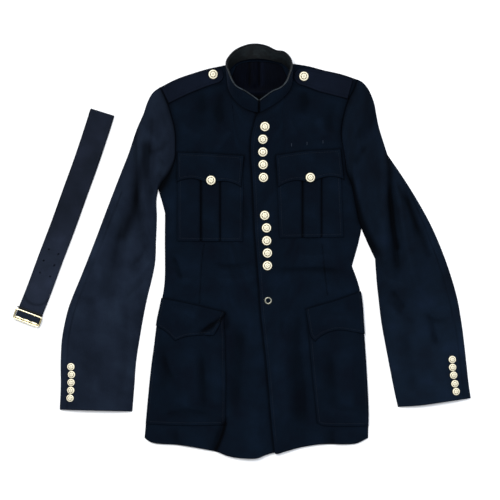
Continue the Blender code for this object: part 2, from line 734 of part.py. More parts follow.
def build_lower_pocket(side, data):
    under = front_under(side)
    outer = side_line(side, *data["side_y"], 0.4)
    inner = edge([data["inner"]])
    start, end = (outer, inner) if side == "right" else (inner, outer)
    pocket = patch(edge([data["bottom"]]), edge([data["top"]]), start, end)

    def puff(u, v, x, y):
        return LOWER_PUFF * ease(min(u, 1 - u) * 5) * ease(v * 5)

    cloth_wall(f"lower_pocket_{side}", even(8), even(10), pocket, under, PATCH_WALL, WOOL, puff)

    flap_outer = side_line(side, *data["flap_side_y"], 1.6)
    flap_inner = edge([data["flap_inner"]])
    start, end = (flap_outer, flap_inner) if side == "right" else (flap_inner, flap_outer)
    flap = patch(edge(data["flap_bottom"]), edge([data["flap_top"]]), start, end)
    cover = LOWER_PUFF + PATCH_WALL + PATCH_GAP + 0.2

    cloth_wall(f"lower_flap_{side}", even(14), even(4), flap,
               lambda x, y: under(x, y) - PATCH_GAP + cover, PATCH_WALL, WOOL)


def build_shoulder_strap(side, rows):
    """A tapered strap with a round end, laid on the front along the shoulder."""
    line = edge([[(x, y) for x, y, half in rows_of(rows)]])
    widths = [(i / (len(rows_of(rows)) - 1), row[2]) for i, row in enumerate(rows_of(rows))]
    length = sum((line((i + 1) / 40) - line(i / 40)).length for i in range(40))
    radius = rows_of(rows)[-1][2]
    straight_share = 1.0 - radius / length
    ends = [straight_share + (1 - straight_share) * math.sin(math.radians(a))
            for a in (25, 45, 60, 73, 84)]
    along = [straight_share * i / 7 for i in range(8)] + ends

    def plan(u, v):
        centre = line(v)
        ahead = (line(min(1.0, v + 0.01)) - line(max(0.0, v - 0.01))).normalized()
        half = level_at(widths, v)
        if v > straight_share:
            half *= math.sqrt(1.0 - ((v - straight_share) / (1 - straight_share)) ** 2)
        return centre + Vector((-ahead.y, ahead.x)) * half * (2 * u - 1)

    cloth_wall(f"shoulder_strap_{side}", even(4), along, plan,
               strap_under(side), STRAP_WALL, WOOL)


def strap_under(side):
    under = front_under(side)
    return lambda x, y: under(x, y) + 0.3


def turned(name, profile, steps, finish, closed=False):
    """A turned piece: a profile of (radius, height) run down its outer side, and a Screw."""
    mesh = bpy.data.meshes.new(name)
    count = len(profile)
    closing = [(count - 1, 0)] if closed else []
    mesh.from_pydata([(r * MM, 0.0, z * MM) for r, z in profile],
                     [(i, i + 1) for i in range(count - 1)] + closing, [])
    mesh.materials.append(material(finish))
    obj = bpy.data.objects.new(name, mesh)
    jacket.objects.link(obj)
    screw = obj.modifiers.new("turn", "SCREW")
    screw.steps = screw.render_steps = steps
    screw.use_merge_vertices = True
    screw.merge_threshold = 0.00002
    return obj


def button_profile(size):
    """Dome, rolled rim, flat back and shank of a button, from the top down."""
    radius, dome, shank = size["radius"], size["dome"], size["shank"]
    arch = [(radius * 0.93 * math.sin(math.radians(a)), dome * math.cos(math.radians(a)))
            for a in (0, 30, 58, 78)]
    rim = [(radius, 1.2), (radius * 0.96, 0.0), (radius * 0.3, 0.0)]
    return [(r, z + shank) for r, z in arch + rim] + [(radius * 0.3, 0.0), (0.0, 0.0)]


def slope_normal(height, x, y):
    step = 3.0
    dx = (height(x + step, y) - height(x - step, y)) / (2 * step)
    dy = (height(x, y + step) - height(x, y - step)) / (2 * step)
    return Vector((-dx, -dy, 1.0)).normalized()


def place_button(name, x, y, height, size, steps):
    """A button that stands on the cloth and leans with it."""
    button = turned(name, button_profile(size), steps, SILVER)
    normal = slope_normal(height, x, y)
    foot = Vector((x, y, height(x, y))) + normal * (GAP + 0.1)
    button.location = foot * MM
    button.rotation_mode = "QUATERNION"
    button.rotation_quaternion = Vector((0.0, 0.0, 1.0)).rotation_difference(normal)


def sleeve_height_at(side):
    """The outer height of a top sleeve at a point near its cuff buttons."""
    outer, inner = (
        (RIGHT_SLEEVE_OUTER, RIGHT_SLEEVE_INNER) if side == "right"
        else (LEFT_SLEEVE_OUTER, LEFT_SLEEVE_INNER)
    )
    low, high = side_profile(outer), side_profile(inner)
    folds = RIGHT_SLEEVE_FOLDS if side == "right" else LEFT_SLEEVE_FOLDS

    def height(x, y):
        a, b = level_at(low, y), level_at(high, y)
        u = clamp((x - a) / (b - a))
        return 2 * SLEEVE_WALL + SLEEVE_REST + sleeve_arch(folds, u, 0.0, x, y)

    return height


def build_buttons():
    for number, (x, y) in enumerate(FRONT_BUTTONS, 1):
        place_button(f"front_button_{number:02d}", x, y, left_front_top, LARGE_BUTTON, 14)
    for side, data in CHEST_POCKETS.items():
        cover = flap_cover(side, data)
        place_button(f"chest_button_{side}", *data["button"],
                     lambda x, y, cover=cover: cover(x, y) + PATCH_WALL, LARGE_BUTTON, 14)
    for side, (x, y) in SHOULDER_BUTTONS.items():
        under = strap_under(side)
        place_button(f"shoulder_button_{side}", x, y,
                     lambda x, y, under=under: under(x, y) + STRAP_WALL, LARGE_BUTTON, 14)
    for side, places in (("right", RIGHT_CUFF_BUTTONS), ("left", LEFT_CUFF_BUTTONS)):
        for number, (x, y) in enumerate(places, 1):
            place_button(f"cuff_button_{side}_{number}", x, y, sleeve_height_at(side),
                         SMALL_BUTTON, 12)


def build_eyelet():
    x, y = EYELET["place"]
    low, high, outer, inner = 0.0, EYELET["height"], EYELET["outer"], EYELET["inner"]
    middle = (outer + inner) / 2
    profile = [(inner, 0.6), (middle, high), (outer, 0.6), (outer - 0.4, low), (inner + 0.4, low)]
    ring = turned("belt_hook_eyelet", profile, 20, SILVER, closed=True)
    normal = slope_normal(left_front_top, x, y)
    ring.location = (Vector((x, y, left_front_top(x, y))) + normal * (GAP + 0.1)) * MM
    ring.rotation_mode = "QUATERNION"
    ring.rotation_quaternion = Vector((0.0, 0.0, 1.0)).rotation_difference(normal)


def build_belt():
    """A strap folded in half: its layers lie on each other and meet in a round fold."""
    line = edge([BELT_LINE])
    bm = bmesh.new()
    outer, inner = belt_section(line, even(16))
    rings = []
    for share_point, direction, height, inner_point, inner_height in zip(*outer, *inner):
        side = Vector((-direction.y, direction.x)) * BELT_HALF_WIDTH
        rings.append([
            bm.verts.new((share_point.x - side.x, share_point.y - side.y, height)),
            bm.verts.new((share_point.x + side.x, share_point.y + side.y, height)),
            bm.verts.new((inner_point.x + side.x, inner_point.y + side.y, inner_height)),
            bm.verts.new((inner_point.x - side.x, inner_point.y - side.y, inner_height)),
        ])
    for a, b in zip(rings, rings[1:]):
        for i in range(4):
            j = (i + 1) % 4
            bm.faces.new((a[i], a[j], b[j], b[i]))
    bm.faces.new(rings[0][::-1])
    bm.faces.new(rings[-1])
    bmesh.ops.scale(bm, vec=(MM, MM, MM), verts=bm.verts)
    new_object("belt", bm, WOOL)


def belt_section(line, stations):
    """Outer and inner points along the belt: top layer, round fold, under layer."""
    fold_radius = BELT_WALL + GAP / 2
    start = line(0.0)
    ahead = (line(0.02) - line(0.0)).normalized()
    places, ways, heights, inner_places, inner_heights = [], [], [], [], []

    def add(place, way, height, inner_place, inner_height):
        places.append(place)
        ways.append(way)
        heights.append(height)
        inner_places.append(inner_place)
        inner_heights.append(inner_height)

    def way_at(v):
        return (line(min(1.0, v + 0.02)) - line(max(0.0, v - 0.02))).normalized()

    top = 2 * fold_radius
    for v in reversed(stations[1:]):
        add(line(v), way_at(v), top, line(v), top - BELT_WALL)
    for angle in range(90, -91, -30):
        c, s = math.cos(math.radians(angle)), math.sin(math.radians(angle))
        inner_radius = GAP / 2
        centre = start + ahead * fold_radius
        add(centre - ahead * fold_radius * c, ahead, fold_radius * (1 + s),
            centre - ahead * inner_radius * c, fold_radius + inner_radius * s)
    for v in stations[1:-1]:
        add(line(v), way_at(v), 0.0, line(v), BELT_WALL)
    return (places, ways, heights), (inner_places, inner_heights)


def tube(name, points, radius, finish, closed=False, sides=3):
    """A wire or rod: a curve with a round bevel and filled caps."""
    curve = bpy.data.curves.new(name, "CURVE")
    curve.dimensions = "3D"
    curve.bevel_depth = radius * MM
    curve.bevel_resolution = sides
    curve.use_fill_caps = not closed
    spline = curve.splines.new("POLY")
    spline.points.add(len(points) - 1)
    for item, point in zip(spline.points, points):
        item.co = (*(Vector(point) * MM), 1.0)
    spline.use_cyclic_u = closed
    curve.materials.append(material(finish))
    obj = bpy.data.objects.new(name, curve)
    jacket.objects.link(obj)
    return obj


def build_buckle():
    """A wire frame on the strap, a keeper bar above it and a clasp rod across its lower edge."""
    turn = math.radians(BUCKLE["turn"])
    wide = Vector((math.cos(turn), math.sin(turn), 0.0))
    down = Vector((math.sin(turn), -math.cos(turn), 0.0))
    wire, corner = BUCKLE["wire"], BUCKLE["corner"]
    half_w, half_h = BUCKLE["width"] / 2 - wire, BUCKLE["height"] / 2 - wire
    level = 2 * BELT_WALL + GAP + PATCH_GAP + wire
    centre = Vector((BUCKLE["x"], BUCKLE["y"], level))
    loop = []
    for sx, sy, first in ((1, 1, 0), (-1, 1, 90), (-1, -1, 180), (1, -1, 270)):
        for angle in range(first, first + 91, 30):
            a = math.radians(angle)
            across = sx * (half_w - corner) + corner * math.cos(a)
            along = sy * (half_h - corner) + corner * math.sin(a)
            loop.append(centre + wide * across - down * along)
    tube("buckle_frame", loop, wire, GILT, closed=True)

    radius = KEEPER["radius"]
    keeper = centre - down * (half_h + 2 * wire + KEEPER["away"])
    keeper.z += radius + GAP - wire
    reach = wide * (half_w + KEEPER["over"])
    tube("buckle_keeper", [keeper - reach, keeper + reach], radius, BLACK, sides=2)

    rod = centre + down * (half_h - wire - KNUCKLE["radius"] - GAP)
    rod.z += KNUCKLE["lift"]
    reach = wide * KNUCKLE["length"] / 2
    for number in (1, 2, 3):
        middle = rod + wide * KNUCKLE["spacing"] * (number - 2)
        tube(f"buckle_knuckle_{number}", [middle - reach, middle + reach],
             KNUCKLE["radius"], GILT)


def clear_scene():
    for obj in list(bpy.data.objects):
        bpy.data.objects.remove(obj, do_unlink=True)


clear_scene()
jacket = bpy.data.collections.new("dress_uniform_jacket")
bpy.context.scene.collection.children.link(jacket)
build_back()
build_fronts()
build_sleeves()
build_collar()
for pocket_side, pocket_data in CHEST_POCKETS.items():
    build_chest_pocket(pocket_side, pocket_data)
for pocket_side, pocket_data in LOWER_POCKETS.items():
    build_lower_pocket(pocket_side, pocket_data)
for strap_side, strap_rows in SHOULDER_STRAPS.items():
    build_shoulder_strap(strap_side, strap_rows)
build_buttons()
build_eyelet()
build_belt()
build_buckle()
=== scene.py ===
import math

import bmesh
import bpy
import numpy as np
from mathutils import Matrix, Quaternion, Vector


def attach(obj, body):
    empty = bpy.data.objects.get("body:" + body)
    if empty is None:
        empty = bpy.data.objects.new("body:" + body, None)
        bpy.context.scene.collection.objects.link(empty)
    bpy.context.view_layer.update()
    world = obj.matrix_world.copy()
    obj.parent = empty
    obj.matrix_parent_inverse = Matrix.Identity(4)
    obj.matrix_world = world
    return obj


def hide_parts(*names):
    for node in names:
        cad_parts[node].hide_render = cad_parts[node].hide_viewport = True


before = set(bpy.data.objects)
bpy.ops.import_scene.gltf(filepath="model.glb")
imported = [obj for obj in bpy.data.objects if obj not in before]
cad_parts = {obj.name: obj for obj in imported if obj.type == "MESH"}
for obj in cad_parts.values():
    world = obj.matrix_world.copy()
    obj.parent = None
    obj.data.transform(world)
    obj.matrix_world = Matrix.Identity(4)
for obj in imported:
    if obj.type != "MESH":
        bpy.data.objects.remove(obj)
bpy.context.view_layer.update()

# Sizes are in millimetres, +X is the wearer's left, +Y runs to the collar, +Z is up.
mm = 0.001
photo = {"pixel": 2.0, "frameCentre": (-18.0, 4.0), "pixels": 500}
walls = {
    "back": 2.4, "front": 2.6, "sleeve": 2.2, "patch": 2.2, "strap": 2.6, "collar": 2.0,
    "leather": 1.2, "lining": 0.8, "belt": 2.8,
}
gaps = {"layer": 0.3, "patch": 0.5, "flap": 0.7, "overlap": 0.6, "seam": 0.9, "seat": 1.5,
        "leather": 0.9, "binding": 0.7, "button": 0.4}

rightSide = [
    [
        (-229, -372), (-222.6, -300), (-216.2, -236), (-209.8, -188), (-203.8, -140), (-197.2, -108),
        (-191, -76), (-188.4, -44), (-188.6, 20), (-188.2, 78),
    ],
    [(-188.2, 78), (-194, 100), (-201, 126)],
]
rightArmhole = [
    [
        (-201, 126), (-194.2, 138), (-180, 157), (-168.8, 182.6), (-167, 214.4), (-168, 240),
        (-173.4, 265.4), (-183, 296.4), (-197, 330),
    ],
]
leftSide = [
    [
        (218.4, -372), (219, -316), (215.2, -236), (212, -188), (209.2, -148), (204.8, -92),
        (197.6, -60), (186, -28),
    ],
    [(186, -28), (190.4, -12), (199.4, 20), (204.4, 48)],
]
leftContact = [[(204.4, 48), (198, 71), (191.6, 106), (185.2, 138)]]
leftArmhole = [
    [
        (185.2, 138), (177.2, 157), (172.4, 188.8), (167, 220.8), (165, 244), (169.2, 272),
        (178.8, 303.8), (190, 326), (197, 345),
    ],
]
rightShoulder = [[(-197, 330), (-160.4, 348), (-110.2, 364), (-63, 375)]]
leftShoulder = [[(66, 377), (98.8, 372), (128.8, 364), (164.4, 356), (197, 345)]]
backNeckline = [[(-63, 375), (-42, 384.5), (-5, 389), (29, 386.5), (66, 377)]]
backHem = [[(218.4, -372), (150, -377), (0, -384), (-150, -378), (-229, -372)]]
rightNeckline = [
    [(-63, 375), (-61, 362)],
    [
        (-61, 362), (-60.5, 345), (-57.5, 325), (-48.5, 309), (-33.5, 293.5), (-15, 284.5), (4, 280),
        (20, 274),
    ],
]
leftNeckline = [
    [(-5, 274), (2, 280.5), (13, 287), (28, 296.5), (43, 307.5), (57.5, 325), (64, 348)],
    [(64, 348), (66, 377)],
]
rightFrontEdge = [[(50, -398), (44, -278), (34, -170), (28, -60), (22, 60), (20, 180), (20, 274)]]
leftFrontEdge = [
    [
        (31, -402), (24.2, -338.6), (14.6, -227), (3.4, -125), (-2.8, -35.8), (-9.2, 44), (-13.2, 140),
        (-16.6, 188.8), (-16.6, 220.8), (-13.5, 243), (-5, 274),
    ],
]
rightHem = [
    [
        (-229, -372), (-217.6, -380), (-201, -384), (-165, -386), (-122.6, -392.4), (-83.4, -400.4),
        (-66.6, -407), (-44, -411.8), (-7.6, -413.4), (12, -407), (26, -402.5), (50, -398),
    ],
]
leftHem = [
    [
        (31, -402), (37, -404), (62.6, -396.4), (90.6, -389.6), (127, -384.8), (174.8, -385),
        (197.2, -382.4), (218.4, -372),
    ],
]
crown = [("y", "rise"), (-410, 2), (-250, 2.5), (-60, 2.5), (80, 4), (230, 5.5), (330, 5), (390, 4)]
shoulderTop = [(-197, 330), (-110.2, 364), (-63, 375), (0, 392), (66, 377), (128.8, 364), (197, 345)]
neckRise = {"height": 8.5, "y": 285, "halfX": 85, "halfY": 75}
frontFolds = [
    ("x0", "y0", "x1", "y1", "halfWidth", "rise"), (-28, -350, -18, -412, 34, 5.5),
    (-176, -8, -146, -58, 15, 2.2), (78, -140, 82, -300, 18, 2), (40, -62, 176, -34, 16, 1.6),
    (-150, 262, -136, 318, 22, 1.6), (140, 250, 132, 306, 22, 1.6),
]


def toLinear(code):
    # sRGB hex to the linear values that a shader takes
    parts = [int(code[i:i + 2], 16) / 255 for i in (1, 3, 5)]
    return tuple(c / 12.92 if c <= 0.04045 else ((c + 0.055) / 1.055) ** 2.4 for c in parts)


def setInputs(tree, node, inputs):
    # a constant is set on its socket, another node's output is linked to it
    for socket, value in inputs.items():
        if isinstance(value, bpy.types.NodeSocket):
            tree.links.new(value, node.inputs[socket])
        else:
            node.inputs[socket].default_value = value


def addNode(tree, kind, output, inputs=None, stops=(), **settings):
    # adds a node with its attributes, inputs and (place, hex) stops, and gives back one output
    node = tree.nodes.new("ShaderNode" + kind)
    for name, value in settings.items():
        setattr(node, name, value)
    setInputs(tree, node, inputs or {})
    elements = node.color_ramp.elements if stops else []
    for _ in stops[2:]:
        elements.new(0.5)
    for element, (place, code) in zip(elements, stops):
        element.position = place
        element.color = (*toLinear(code), 1.0)
    return node.outputs[output]


def newMaterial(name, inputs):
    made = bpy.data.materials.new(name)
    made.use_nodes = True
    tree = made.node_tree
    shader = tree.nodes["Principled BSDF"]
    setInputs(tree, shader, inputs)
    return made, tree, shader


# Cloth and metal finishes


def woolSerge(name, base, light, dark):
    # Wool serge, worsted twill weave: nearly black navy, a matt face, a faint nap that catches light
    # at the folds. Real ribs are 0.6 mm apart; they are drawn at 1.5 mm so that they show.
    ribs, sheen, shadeStrength = 1.5, 0.022, 0.8
    made, tree, shader = newMaterial(name, {
        "Roughness": 0.86, "IOR": 1.45, "Specular IOR Level": 0.03, "Sheen Roughness": 0.45,
        "Sheen Tint": (*toLinear("#8CA0C8"), 1.0),
    })
    uv = addNode(tree, "UVMap", "UV", uv_map="cloth")
    turned = addNode(tree, "Mapping", "Vector", {"Vector": uv, "Rotation": (0, 0, math.radians(32))})
    twill = addNode(
        tree, "TexWave", "Fac",
        {"Vector": turned, "Scale": 2 * math.pi / (20 * ribs * mm), "Distortion": 0.6, "Detail": 1.0},
        wave_type="BANDS", bands_direction="X",
    )
    threads = addNode(tree, "TexNoise", "Fac", {"Vector": uv, "Scale": 900.0, "Detail": 2.0})
    cloud = addNode(tree, "TexNoise", "Fac",
                    {"Vector": uv, "Scale": 16.0, "Detail": 4.0, "Roughness": 0.55})
    tone = addNode(tree, "ValToRGB", "Color", {"Fac": cloud},
                   [(0.3, dark), (0.52, base), (0.78, light)])
    fleck = addNode(tree, "ValToRGB", "Color", {"Fac": threads},
                    [(0.35, "#B4B4B4"), (0.7, "#FFFFFF")])
    # painted shade: the stored shade value darkens the colour and sheen at edges and in troughs, and
    # lightens them, as painted light, where it is below 0
    grooveAndShade = addNode(tree, "Attribute", "Fac", attribute_name="shade")
    kept = addNode(tree, "Math", "Value", {0: grooveAndShade, 1: -shadeStrength, 2: 1.0},
                   operation="MULTIPLY_ADD")
    cloudy = addNode(tree, "VectorMath", "Vector", {0: tone, 1: fleck}, operation="MULTIPLY")
    mixed = addNode(tree, "VectorMath", "Vector", {0: cloudy, "Scale": kept}, operation="SCALE")
    nap = addNode(tree, "Math", "Value", {0: kept, 1: sheen}, operation="MULTIPLY")
    height = addNode(tree, "Math", "Value", {0: twill, 1: 0.7, 2: threads},
                     operation="MULTIPLY_ADD")
    bump = addNode(tree, "Bump", "Normal", {"Height": height, "Strength": 0.35, "Distance": 0.0004})
    setInputs(tree, shader, {"Base Color": mixed, "Normal": bump, "Sheen Weight": nap})
    return made


def satinLining():
    # Viscose satin lining: deep violet navy, smooth, with a soft streaky gloss along its length
    shadeStrength = 0.9
    made, tree, shader = newMaterial("viscoseSatin", {
        "Roughness": 0.5, "IOR": 1.46, "Specular IOR Level": 0.01, "Anisotropic": 0.4,
    })
    uv = addNode(tree, "UVMap", "UV", uv_map="cloth")
    stretched = addNode(tree, "Mapping", "Vector", {"Vector": uv, "Scale": (700.0, 40.0, 1.0)})
    streak = addNode(tree, "TexNoise", "Fac", {"Vector": stretched, "Scale": 1.0, "Detail": 2.0})
    tone = addNode(tree, "ValToRGB", "Color", {"Fac": streak}, [(0.3, "#010206"), (0.7, "#03050D")])
    bump = addNode(tree, "Bump", "Normal", {"Height": streak, "Strength": 0.12, "Distance": 0.0002})
    # painted shade: the stored shade value darkens the colour, and lightens it, as painted light,
    # where it is below 0
    grooveAndShade = addNode(tree, "Attribute", "Fac", attribute_name="shade")
    kept = addNode(tree, "Math", "Value", {0: grooveAndShade, 1: -shadeStrength, 2: 1.0},
                   operation="MULTIPLY_ADD")
    mixed = addNode(tree, "VectorMath", "Vector", {0: tone, "Scale": kept}, operation="SCALE")
    setInputs(tree, shader, {"Base Color": mixed, "Normal": bump})
    return made


def blackLeather(name, dark, light):
    # Vegetable tanned collar leather: black with a grey green bloom where it has cracked and worn
    made, tree, shader = newMaterial(name, {
        "Roughness": 0.6, "IOR": 1.5, "Specular IOR Level": 0.22,
    })
    place = addNode(tree, "TexCoord", "Object")
    bloom = addNode(tree, "TexNoise", "Fac",
                    {"Vector": place, "Scale": 90.0, "Detail": 6.0, "Roughness": 0.65})
    grain = addNode(tree, "TexVoronoi", "Distance", {"Vector": place, "Scale": 650.0},
                    feature="DISTANCE_TO_EDGE")
    # the stored shade value lowers the bloom: painted shade low inside the collar facing, and darker
    # towards the back of the neck on the binding
    grooveAndShade = addNode(tree, "Attribute", "Fac", attribute_name="shade")
    spread = addNode(tree, "Math", "Value", {0: bloom, 1: grooveAndShade}, operation="SUBTRACT")
    tone = addNode(tree, "ValToRGB", "Color", {"Fac": spread}, [(0.34, dark), (0.64, light)])
    bump = addNode(tree, "Bump", "Normal", {"Height": grain, "Strength": 0.5, "Distance": 0.0006})
    setInputs(tree, shader, {"Base Color": tone, "Normal": bump})
    return made


def stampedGilt(name, bright, deep, roughness, metallic=1.0):
    # Stamped brass with worn silver gilt plate: bright on the relief, browner where it is sunk
    made, tree, shader = newMaterial(name, {"Metallic": metallic, "Roughness": roughness})
    # the stored darkening: browner in the hollows, a painted shadow round a button's rim, and darker
    # end bars on the buckle
    recess = addNode(tree, "Attribute", "Fac", attribute_name="recess")
    place = addNode(tree, "TexCoord", "Object")
    patches = addNode(tree, "TexNoise", "Fac", {"Vector": place, "Scale": 420.0, "Detail": 4.0})
    factor = addNode(tree, "Math", "Value", {0: patches, 1: 0.5, 2: recess},
                     operation="MULTIPLY_ADD")
    tone = addNode(tree, "ValToRGB", "Color", {"Fac": factor}, [(0.3, bright), (0.95, deep)])
    scratch = addNode(tree, "Bump", "Normal",
                      {"Height": patches, "Strength": 0.15, "Distance": 0.0003})
    setInputs(tree, shader, {"Base Color": tone, "Normal": scratch})
    return made


def plainFinish(name, code, roughness, metallic=0.0, specular=0.3):
    made, tree, shader = newMaterial(name, {
        "Roughness": roughness, "Metallic": metallic, "Specular IOR Level": specular,
        "Base Color": (*toLinear(code), 1.0),
    })
    place = addNode(tree, "TexCoord", "Object")
    fibre = addNode(tree, "TexNoise", "Fac", {"Vector": place, "Scale": 800.0})
    bump = addNode(tree, "Bump", "Normal", {"Height": fibre, "Strength": 0.2, "Distance": 0.0002})
    setInputs(tree, shader, {"Normal": bump})
    return made


wool = woolSerge("woolSerge", "#07101B", "#0A1523", "#060B15")
# the sleeves are the body's serge painted lighter: painted light, most on the right sleeve, on the
# side the key light comes from
paintedLightSleeveWools = {
    "right": woolSerge("rightSleeveSergePaintedLight", "#151C28", "#1B2431", "#0F151F"),
    "left": woolSerge("leftSleeveSergePaintedLight", "#0A131E", "#0E1827", "#080E17"),
}
strapWool = woolSerge("strapSerge", "#0E1420", "#131A29", "#0B101A")
beltWool = woolSerge("beltSerge", "#191E29", "#202634", "#131820")
satin = satinLining()
leather = blackLeather("collarLeather", "#04070A", "#151C1F")
edgeLeather = blackLeather("collarEdgeLeather", "#0A0F12", "#242C33")
nickel = plainFinish("nickelPlate", "#7C7C70", 0.36, metallic=1.0)
silver = stampedGilt("stampedSilverGilt", "#FFF8DC", "#6E6348", 0.5, 0.28)
gilt = stampedGilt("polishedGilt", "#F6ECC6", "#6B5B22", 0.3)
# flat black for the bar of painted shade at the buckle
shadeBarFinish = plainFinish("blackEnamel", "#08090C", 0.45, specular=0.15)
thread = plainFinish("navyThread", "#0A131F", 0.8)
paleThread = plainFinish("greyThread", "#2B3542", 0.8)
print("finishes made")


# Lines, edges and patches


def bell(value):
    # 1 in the middle of a line or seam, falling off on both sides
    return np.exp(-value ** 2)


def unit(rows):
    return rows / np.maximum(np.linalg.norm(rows, axis=-1, keepdims=True), 1e-9)


def lengthsAlong(line):
    return np.concatenate([[0], np.cumsum(np.linalg.norm(np.diff(line, axis=0), axis=1))])


def smoothRun(points, steps=10):
    line = np.array(points, float)
    if len(line) == 2:
        return line
    line = np.vstack([2 * line[0] - line[1], line, 2 * line[-1] - line[-2]])
    made = [line[1]]
    for p0, p1, p2, p3 in zip(line, line[1:], line[2:], line[3:]):
        for t in np.arange(1, steps + 1) / steps:
            made.append(0.5 * (2 * p1 + (p2 - p0) * t + (2 * p0 - 5 * p1 + 4 * p2 - p3) * t * t
                               + (3 * p1 - p0 - 3 * p2 + p3) * t ** 3))
    return np.array(made)


def edgeLine(stretches):
    # the point at each share of an edge's length
    line = np.vstack([smoothRun(s)[1 if i else 0:] for i, s in enumerate(stretches)])
    marks = lengthsAlong(line)

    def at(shares):
        want = np.clip(np.asarray(shares, float), 0, 1) * marks[-1]
        return np.stack([np.interp(want, marks, line[:, i]) for i in range(line.shape[1])], -1)

    return at


def fillPatch(bottom, top, start, end):
    # fills four edges, at shares across (u) and along (v)
    def at(u, v):
        b, t, s, e = bottom(u)[None], top(u)[None], start(v)[:, None], end(v)[:, None]
        u, v = u[None, :, None], v[:, None, None]
        corners = ((bottom(0) * (1 - u) + bottom(1) * u) * (1 - v)
                   + (top(0) * (1 - u) + top(1) * u) * v)
        return b * (1 - v) + t * v + s * (1 - u) + e * u - corners

    return at


def backwards(stretches):
    return [stretch[::-1] for stretch in reversed(stretches)]


def stations(length, step, rim=1.3, marks=()):
    # shares across a piece: even, closer at the rolled edges and beside each marked share
    near = np.array([0, 0.08, 0.3, 0.65, 1.0, 1.6, 2.6]) * rim
    places = set(np.round(np.linspace(0, length, max(3, int(length / step))), 3))
    places |= set(np.round(near, 3)) | set(np.round(length - near, 3))
    for mark in marks:
        beside = 0.6 * np.array([-3, -1.5, -0.5, 0.5, 1.5, 3])
        places |= set(np.round(mark * length + beside, 3))
    ordered = sorted(p for p in places if 0 <= p <= length)
    kept = [ordered[0]]
    for place in ordered[1:]:
        if place - kept[-1] > 0.04:
            kept.append(place)
    return np.array(kept) / length


def ease(value):
    t = np.clip(value, 0, 1)
    return t * t * (3 - 2 * t)


def levelAt(table, where):
    rows = np.array(sorted(table), float)
    return np.interp(where, rows[:, 0], rows[:, 1])


def sideProfile(stretches):
    return [(y, x) for stretch in stretches for x, y in smoothRun(stretch)]


rightProfile = sideProfile(rightSide + rightArmhole)
leftProfile = sideProfile(leftSide + leftContact + leftArmhole)
innerProfile = sideProfile(rightFrontEdge)


# Height of the cloth


def foldRise(folds, x, y):
    total = np.zeros_like(x, dtype=float)
    for x0, y0, x1, y1, halfWidth, rise in folds[1:]:
        runX, runY = x1 - x0, y1 - y0
        share = np.clip(((x - x0) * runX + (y - y0) * runY) / (runX ** 2 + runY ** 2), 0, 1)
        away = np.hypot(x - x0 - runX * share, y - y0 - runY * share)
        total += rise * bell(away / halfWidth)
    return total


def lineField(points, x, y):
    # distance to a smooth line, with a sign for its side, and the share along it
    line = smoothRun(points, 5)
    lengths = np.linalg.norm(np.diff(line, axis=0), axis=1)
    starts = np.concatenate([[0], np.cumsum(lengths)])
    best = np.full(x.shape, 1e9)
    side, along = np.ones_like(best), np.zeros_like(best)
    for a, b, length, start in zip(line, line[1:], lengths, starts):
        run = b - a
        t = np.clip(((x - a[0]) * run[0] + (y - a[1]) * run[1]) / length ** 2, 0, 1)
        dx, dy = x - a[0] - run[0] * t, y - a[1] - run[1] * t
        away = np.hypot(dx, dy)
        nearer = away < best
        best = np.where(nearer, away, best)
        side = np.where(nearer, np.sign(run[0] * dy - run[1] * dx), side)
        along = np.where(nearer, (start + t * length) / starts[-1], along)
    return best, side, along


def closeTo(points, x, y, reach):
    low, high = np.min(points, axis=0) - reach, np.max(points, axis=0) + reach
    return (x > low[0]) & (x < high[0]) & (y > low[1]) & (y < high[1])


def creaseRise(creases, x, y):
    # soft ridges (rise above 0) and troughs, uneven along their length and steeper on one side
    total = np.zeros_like(x, dtype=float)
    for number, (line, steep, soft, rise, *opened) in enumerate(creases):
        near = closeTo(line, x, y, 3.2 * soft)
        if not near.any():
            continue
        away, side, along = lineField(line, x[near], y[near])
        width = np.where(side > 0, steep, soft) * (0.85 + 0.3 * along)
        ends = ease(along / 0.28) * ease((1 - along) / 0.28)
        if opened:
            ends = {"end": ease(along / 0.35), "both": 1.0}[opened[0]]
        uneven = 1 + 0.22 * np.sin(9.0 * along + 2.1 * number)
        total[near] += bodyForm["creaseScale"] * rise * ends * uneven * bell(away / width)
    return total


def ripple(x, y, size, seed):
    # slow unevenness that all laid cloth has, about 1 high
    draw = np.random.RandomState(seed)
    total = np.zeros_like(x, dtype=float)
    for _ in range(6):
        angle, phase = draw.uniform(0, math.pi), draw.uniform(0, 6.28)
        wave = size * draw.uniform(0.7, 1.5)
        total += np.sin((x * math.cos(angle) + y * math.sin(angle)) / wave * 6.28 + phase)
    return total / 3


def seamLine(points, x, y, width):
    total = np.zeros_like(x, dtype=float)
    near = closeTo(points, x, y, 4 * width)
    if near.any():
        away, _, _ = lineField(points, x[near], y[near])
        total[near] = bell(away / width)
    return total
